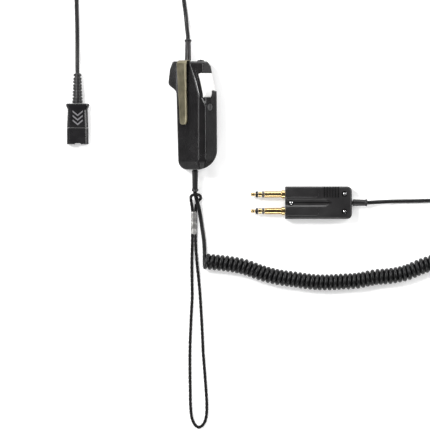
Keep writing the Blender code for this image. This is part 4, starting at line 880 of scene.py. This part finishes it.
def plug_half(name, low, high, node, cover):
    """One shell of the plug: the cover with its rounded edges and cuts, or the base."""
    middle, corners = PLUG_HEIGHT / 2, plug_outline(0.0, 0.0008, 0.0048)
    edge = PLUG_EDGE if cover else PLUG_EDGE / 2
    rings = [[(x, y, height) for x, y in rounded(corners, 8)] for height in (low, low + 0.0002)]
    for step in range(9):
        angle = math.pi / 2 * step / 8
        shrink = inset(corners, edge * (1 - math.cos(angle)))
        rings.append([(x, y, high - edge * (1 - math.sin(angle))) for x, y in rounded(shrink, 8)])
    if not cover:
        rings = [[(x, y, low + high - z) for x, y, z in ring] for ring in rings]
    shell = skin(name, rings)
    hollow_low, hollow_high = (middle - WALL, high - WALL) if cover else (WALL, middle + WALL)
    inside = rounded(plug_outline(WALL, 0.0004, 0.003), 5)
    shell = combine(shell, [plate("hollow", inside, hollow_low, hollow_high)], "DIFFERENCE")
    for x, y in PLUG_SCREWS:
        post = rod("post", 0.0036, low + (0.0 if cover else 0.001), high - PLUG_EDGE, centre=(x, y))
        shell = combine(shell, [post], "UNION")
        tools = [rod("bore", 0.00125, 0.0022, 0.0200, centre=(x, y))]
        if cover:
            tools.append(rod("counterbore", 0.0028, PLUG_HEIGHT - 0.0026, 0.0200, centre=(x, y)))
        shell = combine(shell, tools, "DIFFERENCE")
    for side in (-1, 1):
        mouth = axis_frame((PLUG_FRONT, PLUG_Y + side * PRONG_OFFSET, middle), (1.0, 0.0, 0.0))
        shell = combine(shell, [rod("mouth", 0.0027, -0.0050, 0.0040, mouth)], "DIFFERENCE")
    entry = axis_frame((PLUG_REAR, PLUG_Y, middle), (1.0, 0.0, 0.0))
    shell = combine(shell, [rod("entry", 0.0025, -0.0040, 0.0040, entry)], "DIFFERENCE")
    if cover:
        cuts = [valley("channel", PLUG_Y, 0.0040, 0.1262, 0.1322, 0.0013, 0.0017),
                block("slot", (PLUG_FRONT - 0.01, PLUG_Y - 0.0004, PLUG_HEIGHT - 0.0020),
                      (0.1300, PLUG_Y + 0.0004, 0.0200))]
        for side in (-1, 1):
            cuts.append(valley("panel", PLUG_Y + side * 0.0088, 0.0038, 0.1180, 0.1202, 0.0005, 0.0006))
        shell = combine(shell, cuts, "DIFFERENCE")
        shell = grown(shell, GROOVES, Count=GROOVE_COUNT, Pitch=GROOVE_PITCH, Groove=GROOVE_SIZE,
                      First=(GROOVE_FIRST, PLUG_Y + 0.0174, PLUG_HEIGHT + 0.0012), Finish=PLUG_BLACK)
    return fitted(shell, PLUG_BLACK, nodes=[node], crease=20.0)


def screw_shape(name, head, radius, tip):
    """A round-headed slotted screw about Z: head is where its face is, tip where its thread ends."""
    thread, shoulder = 0.0011, head - 0.0012
    profile = [(0.0, tip), (0.0007, tip), (thread, tip + 0.0005), (thread, shoulder), (radius, shoulder),
               (radius, head - 0.0006), (radius * 0.93, head - 0.0003), (radius * 0.7, head - 0.0001),
               (0.0, head)]
    screw = turned(name, profile, sides=28)
    return combine(screw, [block("slot", (-0.0003, -0.0030, head - 0.0005), (0.0003, 0.0030, head + 0.0010))],
                   "DIFFERENCE")


def screws(name, places, shape, lean, nodes):
    mesh = bpy.data.meshes.new(name)
    mesh.from_pydata([tuple(place) for place in places], [], [])
    piece = grown(add(name, mesh), SCREWS, Screw=shape, Lean=lean, Seed=4, Finish=SCREW_STEEL)
    bpy.data.objects.remove(shape)
    return fitted(piece, SCREW_STEEL, nodes=nodes)


def prong(name, place):
    """One three-pole prong: a cored tip, then rings that sit round its core."""
    core, bore = 0.0008, 0.0011
    tip = [(0.0, 0.0328), (0.0006, 0.03275), (0.0012, 0.0325), (0.0017, 0.0321), (0.0019, 0.0316),
           (0.0020, 0.0310), (0.0019, 0.0304), (0.0017, 0.0299), (0.00165, 0.0295), (0.0017, 0.0290),
           (0.0018, 0.0286), (0.0018, 0.0285), (core, 0.0285), (core, -0.0060), (0.0, -0.0060)]
    made = [fitted(turned(f"{name}_tip_contact", tip, place, 40), GOLD, nodes=[f"{name}_prong_tip"])]
    for piece, finish, outside in (
            ("front_insulator", INSULATOR, [
                (0.0020, 0.0282), (0.0026, 0.0278), (0.0030, 0.0273), (0.0031, 0.0270), (0.0031, 0.0263),
                (0.0030, 0.0260), (0.0027, 0.0258)]),
            ("ring", GOLD, [(0.00255, 0.0255), (0.0027, 0.0253), (0.0027, 0.0223), (0.00255, 0.0221)]),
            ("rear_insulator", INSULATOR, [
                (0.0027, 0.0218), (0.0029, 0.0216), (0.0030, 0.0213), (0.0030, 0.0205), (0.0029, 0.0201)]),
            ("sleeve", GOLD, [
                (0.0029, 0.0198), (0.00305, 0.01965), (0.0031, 0.0193), (0.0031, 0.0036), (0.0033, 0.0034),
                (0.0040, 0.0033), (0.0041, 0.0031), (0.0041, 0.0005), (0.0040, 0.0003), (0.0023, 0.0003),
                (0.0023, -0.0030), (0.0036, -0.0030), (0.0036, -0.0050)])):
        profile = outside + [(bore, outside[-1][1]), (bore, outside[0][1])]
        ring = ringed(f"{name}_{piece}_contact", profile, place, 40)
        made.append(fitted(ring, finish, nodes=[f"{name}_prong_{piece}"]))
    return made


def twin_plug():
    middle = PLUG_HEIGHT / 2
    pieces = [plug_half("plug_cover", middle + GAP / 2, PLUG_HEIGHT, "plug_top_shell", True),
              plug_half("plug_base", 0.0, middle - GAP / 2, "plug_bottom_shell", False)]
    shape = screw_shape("plug_screw", 0.0142, 0.0016, 0.0025)
    pieces.append(screws("plug_screws", [(x, y, 0.0) for x, y in PLUG_SCREWS], shape, (0.0, 0.0, 0.0),
                         [f"plug_screw_{number}" for number in (1, 2, 3)]))
    for side, name in ((1, "upper"), (-1, "lower")):
        place = axis_frame((PLUG_FRONT, PLUG_Y + side * PRONG_OFFSET, middle), (-1.0, 0.0, 0.0))
        pieces += prong(name, place)
    line, widths = [], []
    for step in range(-20, 61):
        distance = 0.0148 * step / 60
        line.append((PLUG_REAR + distance, PLUG_Y, middle))
        if distance < 0.0005:
            widths.append(0.0038 if distance < -0.0036 else 0.0021)
            continue
        flare = 0.0007 * math.exp(-((distance - 0.0138) / 0.0008) ** 2)
        end = 0.0009 * max(0.0, (distance - 0.0138) / 0.0010) ** 2
        widths.append(0.0033 - 0.0004 * distance / 0.0148 + flare - end)
    piece = grown(threaded("plug_cord_boot", line, widths), JACKET, Sides=40, Finish=BOOT_RUBBER)
    pieces.append(fitted(piece, BOOT_RUBBER, nodes=["plug_boot"], crease=50.0))
    return pieces


# ---------------------------------------------------------------- the pod
def smooth_min(first, second, blend):
    reach = max(blend - abs(first - second), 0.0) / blend
    return min(first, second) - reach * reach * blend / 4


def smooth_max(first, second, blend):
    return -smooth_min(-first, -second, blend)


def slope_height(x, first, second, inward):
    """Height at x of the sloping face through two section points, moved inwards by a distance."""
    slope = (second[1] - first[1]) / (second[0] - first[0])
    return first[1] + slope * (x - first[0]) - inward * math.hypot(1.0, slope)


def end_shares(y):
    """How far y is along the button's bend, and how far inwards the pod's end chamfers have gone there."""
    bend = min(smooth_max(0.0, (y - POD_BEND) / (POD_HIGH - POD_BEND), 0.08), 1.0)
    low = smooth_max(0.0, (POD_TAPER_LOW - y) / (POD_TAPER_LOW - POD_LOW), 0.15)
    high = max(0.0, (y - POD_TAPER_HIGH) / (POD_HIGH - POD_TAPER_HIGH))
    return bend, END_INSET_LOW * low + END_INSET_HIGH * high


def ridge_points(bend):
    """Section points of the two long ridges and the button face's outer edge at a share of the bend."""
    return [tuple(a + (b - a) * bend for a, b in zip(straight, bent)) for straight, bent in RIDGES]


def pod_top(x, y, inward):
    bend, chamfer = end_shares(y)
    inward += chamfer
    inner, outer, edge = ridge_points(bend)
    left = smooth_max(slope_height(x, HOOK_SIDE, HOOK_FOOT, inward),
                      slope_height(x, HOOK_FOOT, inner, inward), FACE_BLEND)
    top = smooth_min(left, inner[1] - inward, RIDGE_BLEND * (1.0 + 0.3 * min(4.0 * bend, 1.0)))
    top = smooth_min(top, slope_height(x, outer, edge, inward), RIDGE_BLEND * (1.2 - bend))
    brow = (BROW_FOOT[2] - BROW_SLOPES[0] * (x - BROW_FOOT[0]) - BROW_SLOPES[1] * (y - BROW_FOOT[1])
            - inward * math.hypot(1.0, *BROW_SLOPES))
    top = smooth_min(top, brow, BROW_BLEND)
    if y < FACET_HIGH:
        reach = (x - FACET_FOOT[0]) * FACET_SIDE[0] + (y - FACET_FOOT[1]) * FACET_SIDE[1]
        shares = (reach / FACET_WIDTH, (FACET_FADE - x) / (FACET_FADE - FACET_FOOT[0]),
                  (y - FACET_FOOT[1]) / FACET_RISE)
        top -= FACET_DEPTH * math.prod(min(max(share, 0.0), 1.0) for share in shares)
    return top


def pod_base(x, y, inward):
    inward += end_shares(y)[1]
    left = -slope_height(-x, *UNDER_LEFT, inward)
    right = -slope_height(x, *UNDER_RIGHT, inward)
    return smooth_max(smooth_max(inward, left, FACE_BLEND), right, FACE_BLEND)


def edge_drop(depth, edge):
    """How far a rounded edge falls at a depth in from the wall."""
    return edge - math.sqrt(max(edge ** 2 - max(edge - depth, 0.0) ** 2, 0.0))


def pod_form(name, inward, edge, fine):
    """The pod's outer form, or the same form moved inwards: rings of its section from end to end, each as
    wide as the outline is there. The edge is the radius where the walls meet the faces."""
    outline = rounded(inset(POD_OUTLINE, inward), 14 if fine else 5)
    low, high = POD_LOW + inward, POD_HIGH - inward
    arc = [edge * (1 - math.cos(math.pi / 2 * step / 5)) for step in range(5)]
    stations = [low + depth for depth in arc] + [high - depth for depth in arc]
    step = 1 if fine else 3
    for first, last, count in (
            (low + edge, -0.0330, 24), (-0.0330, 0.0070, 14), (0.0070, FACET_HIGH - 0.0001, 22),
            (FACET_HIGH + 0.0001, POD_STEP - 0.00015, 12), (POD_STEP + 0.00015, 0.0300, 14),
            (0.0300, 0.0420, 14), (0.0420, high - edge, 18)):
        stations += spread(first, last, max(2, count // step))
    stations += [POD_STEP - 0.00015, POD_STEP - 0.00002, POD_STEP + 0.00002]
    rings = []
    for y in sorted(stations):
        left, right = width_at(outline, min(max(y, low + 1e-7), high - 1e-7))
        fall = edge_drop(min(y - low, high - y), edge)
        inner, outer, _ = ridge_points(end_shares(y)[0])
        shift = max(y - FACET_FOOT[1], 0.0) * FACET_SIDE[1] / FACET_SIDE[0] if y < FACET_HIGH else 0.0
        outer = (outer[0] - shift, outer[1])
        marks = [left + edge, HOOK_FOOT[0], inner[0] - 0.0012, inner[0] + 0.0012,
                 outer[0] - 0.0010, outer[0] + 0.0014, right - edge]
        for index in range(1, 6):
            marks[index] = max(marks[index], marks[index - 1] + 0.0002)
        for index in range(5, 0, -1):
            marks[index] = min(marks[index], marks[index + 1] - 0.0002)
        counts = (5, 8, 10, 3, 10, 14) if fine else (1, 2, 1, 1, 1, 2)
        across = [left + depth for depth in arc]
        for index, count in enumerate(counts):
            across += spread(marks[index], marks[index + 1], count)
        across += [right - edge] + [right - depth for depth in reversed(arc)]
        drops = [max(edge_drop(min(x - left, right - x), edge), fall) for x in across]
        above = [(x, y, pod_top(x, y, inward) - drop) for x, drop in zip(across, drops)]
        below = [(x, y, pod_base(x, y, inward) + drop) for x, drop in zip(across, drops)][::-1]
        right_wall = [(right, y, z) for z in spread(above[-1][2], below[0][2], 5)][1:]
        left_wall = [(left, y, z) for z in spread(below[-1][2], above[0][2], 5)][1:]
        rings.append(above + right_wall + below + left_wall)
    return skin(name, rings)


def pod_shells():
    """Both shells of the pod, hollow, with the button's recess, the holes and the split along the seam."""
    shell = pod_form("pod_back_shell", 0.0, 0.0008, True)
    tray = block("tray", (BUTTON_LEFT - 0.0024, BUTTON_LOW - 0.0024, -POCKET_DEPTH - 0.0018),
                 (0.0300, BUTTON_HIGH + 0.0022, 0.0100), BUTTON)
    tray = combine(tray, [pod_form("trim", 0.0006, 0.0008, False)], "INTERSECT")
    shell = combine(shell, [pod_form("cavity", WALL, 0.0006, False)], "DIFFERENCE")
    shell = combine(shell, [tray], "UNION")
    pocket = [(BUTTON_LEFT - POCKET_CLEAR, BUTTON_LOW - POCKET_CLEAR, 0.0004),
              (LIP_LEFT, BUTTON_LOW - POCKET_CLEAR, 0.0004), (LIP_LEFT, LIP_HIGH, 0.0006),
              (0.0400, LIP_HIGH, 0.0004), (0.0400, BUTTON_HIGH + POCKET_CLEAR, 0.0004),
              (BUTTON_LEFT - POCKET_CLEAR, BUTTON_HIGH + POCKET_CLEAR, 0.0010)]
    tools = [
        plate("pocket", rounded(pocket, 4), -POCKET_DEPTH, 0.0200, BUTTON),
        block("window", (STEM_LEFT - 0.0008, -0.0013, -0.0100), (STEM_RIGHT + 0.0008, 0.0043, 0.0), BUTTON),
        rod("trimmer_hole", TRIMMER_RADIUS + GAP, -0.0045, 0.0050, FACE, TRIMMER_CENTRE),
        rod("wheel_slot", WHEEL_RADIUS + 0.0004, WHEEL_HEIGHTS[0] - 0.0004, WHEEL_HEIGHTS[1] + 0.0004, WORLD,
            WHEEL_CENTRE, 64),
        block("clip_slot", (0.0035, 0.0470, -0.0054), (0.0125, 0.0530, -0.0030), CLIP)]
    for x, y in ((ENTRY_TOP_X, 0.0500), (ENTRY_LOW_X, -0.0510)):
        tools.append(rod("entry", 0.0028, -0.0060, 0.0060, axis_frame((x, y, ENTRY_HEIGHT), ALONG)))
    for y in SCREW_PLACES:
        bore = axis_frame((0.0, y, SCREW_HEIGHT), (1.0, 0.0, 0.0))
        tools += [rod("pilot", 0.00125, 0.0045, 0.0240, bore),
                  rod("counterbore", 0.0024, 0.0177, 0.0300, bore)]
    shell = combine(shell, tools, "DIFFERENCE")
    front = add("pod_front_shell", shell.data.copy())
    halves = []
    for half, side, node in ((shell, -1, "back_shell"), (front, 1, "front_shell")):
        line = [(spot.x + side * SEAM_GAP / 2, spot.y) for spot in smooth([(*p, 0.0) for p in SEAM], 0.0012)]
        far = side * 0.06
        region = plate("region", [(far, line[0][1])] + line + [(far, line[-1][1])], -0.01, 0.05)
        halves.append(fitted(combine(half, [region], "INTERSECT"), MOULDED_BLACK, nodes=[node], crease=28.0))
    return halves


def clip_strip():
    """The belt clip: a strip with a round foot and rolled sides, folded over the pod's end into its slot."""
    outline = rounded([(0.0017, 0.0560, 0.0004), (0.0017, 0.0490, 0.0002), (0.0039, -0.0095, 0.0040),
                       (0.0126, -0.0095, 0.0040), (0.0131, 0.0430, 0.0060), (0.0134, 0.0490, 0.0004),
                       (0.0134, 0.0560, 0.0004)], 12)
    path = smooth([(0.0, *point) for point in CLIP_PATH], 0.0004)
    half, rings = CLIP_THICK / 2, []
    for index, spot in enumerate(path):
        ahead = (path[min(index + 1, len(path) - 1)] - path[max(index - 1, 0)]).normalized()
        out = Vector((0.0, -ahead.z, ahead.y))
        if spot.z < 0.0 or spot.y > 0.0515:
            share = min(max((0.0012 - spot.z) / 0.0030, 0.0), 1.0)
            left, right = 0.0017 + 0.0024 * share, 0.0134 - 0.0015 * share
        else:
            left, right = width_at(outline, max(spot.y, -0.0094))
        wide = right - left
        ring = []
        for step in range(25):
            across = left + wide * (1 - math.cos(math.pi * step / 24)) / 2
            roll = 0.30 * max(0.0, across - right + CLIP_ROLL) ** 2 / CLIP_ROLL
            roll += 0.30 * max(0.0, left + CLIP_ROLL / 2 - across) ** 2 / CLIP_ROLL
            bulge = half * min(1.0, (min(across - left, right - across) / half + 0.15) ** 0.5)
            ring.append((across, roll, bulge))
        rolled = 0.0 if spot.y > 0.0500 else 1.0
        over = [Vector((x, 0.0, 0.0)) + spot + out * (bulge - roll * rolled) for x, roll, bulge in ring]
        under = [Vector((x, 0.0, 0.0)) + spot - out * (bulge + roll * rolled) for x, roll, bulge in ring]
        rings.append(over + under[::-1])
    return skin("belt_clip_strip", rings, CLIP)


def pod_pieces():
    pod_shells()
    paddle = softened(copied("ptt_button", "talk_paddle"), 0.0005, 3, 24.0)
    fitted(paddle, PADDLE_WHITE, "button", ["ptt_button"])
    fitted(clip_strip(), CLIP_STEEL, "clip", ["belt_clip"], crease=60.0)
    trimmer = softened(copied("gain_trimmer", "slotted_trimmer"), 0.00015, 2, 40.0)
    fitted(trimmer, TRIMMER_BLACK, "trimmer", ["gain_trimmer"])

    low, high = WHEEL_HEIGHTS
    bore, face, rim = 0.0015, WHEEL_RADIUS - 0.0006, WHEEL_RADIUS - 0.0004
    wheel = ringed("knurled_volume_wheel", [(bore, low), (face, low), (rim, low + 0.0002),
                                            (rim, high - 0.0002), (face, high), (bore, high)])
    wheel.data.transform(Matrix.Translation((0.0, 0.0, -(low + high) / 2)))
    wheel = grown(wheel, KNURL, Teeth=WHEEL_TEETH, Rim=WHEEL_RADIUS - TOOTH_RADIUS,
                  Tooth_Radius=TOOTH_RADIUS, Height=high - low - 0.0006, Finish=WHEEL_BLACK)
    wheel.data.transform(Matrix.Translation((*WHEEL_CENTRE, (low + high) / 2)))
    fitted(wheel, WHEEL_BLACK, "thumbwheel", ["volume_thumbwheel"])

    shape = screw_shape("housing_screw", 0.0, 0.0020, -0.0148)
    places = [(0.0198, y, SCREW_HEIGHT) for y in SCREW_PLACES]
    screws("housing_screws", places, shape, (0.0, math.pi / 2, 0.0),
           [f"housing_screw_{number}" for number in (1, 2, 3)])


def inner_parts():
    """The CAD nodes that keep their own shape."""
    for nodes, finish in (
            (("circuit_board",), BOARD),
            (("button_pivot_pin", "button_return_spring"), SCREW_STEEL),
            (("microswitch_plunger",), PADDLE_WHITE),
            (("microswitch_body", "trimmer_body", "volume_pot", "headset_lead_header", "console_lead_header",
              "microphone_amplifier", "coupling_capacitor", "contact_carrier"), PART_GREY)):
        for node in nodes:
            NODES[node].data.materials.clear()
            NODES[node].data.materials.append(finish)


# ---------------------------------------------------------------- making it
JACKET, ROW, KNURL, GROOVES, SCREWS = jacket_tree(), row_tree(), knurl_tree(), groove_tree(), screw_tree()
studio()
headset_cord, headset_line = headset_lead()
console_cord, console_line = console_lead()
lanyard_cord, lanyard_line, ferrule = lanyard()
headset_boot = boot("headset_lead_strain_boot", ENTRY_TOP_X, POD_HIGH, 1, 0.0211, 0.0030, "headset_lead_boot")
console_boot = boot("console_lead_strain_boot", ENTRY_LOW_X, POD_LOW, -1, 0.0209, 0.0029, "console_lead_boot")
connector_pieces = headset_connector()
plug_pieces = twin_plug()
pod_pieces()
inner_parts()
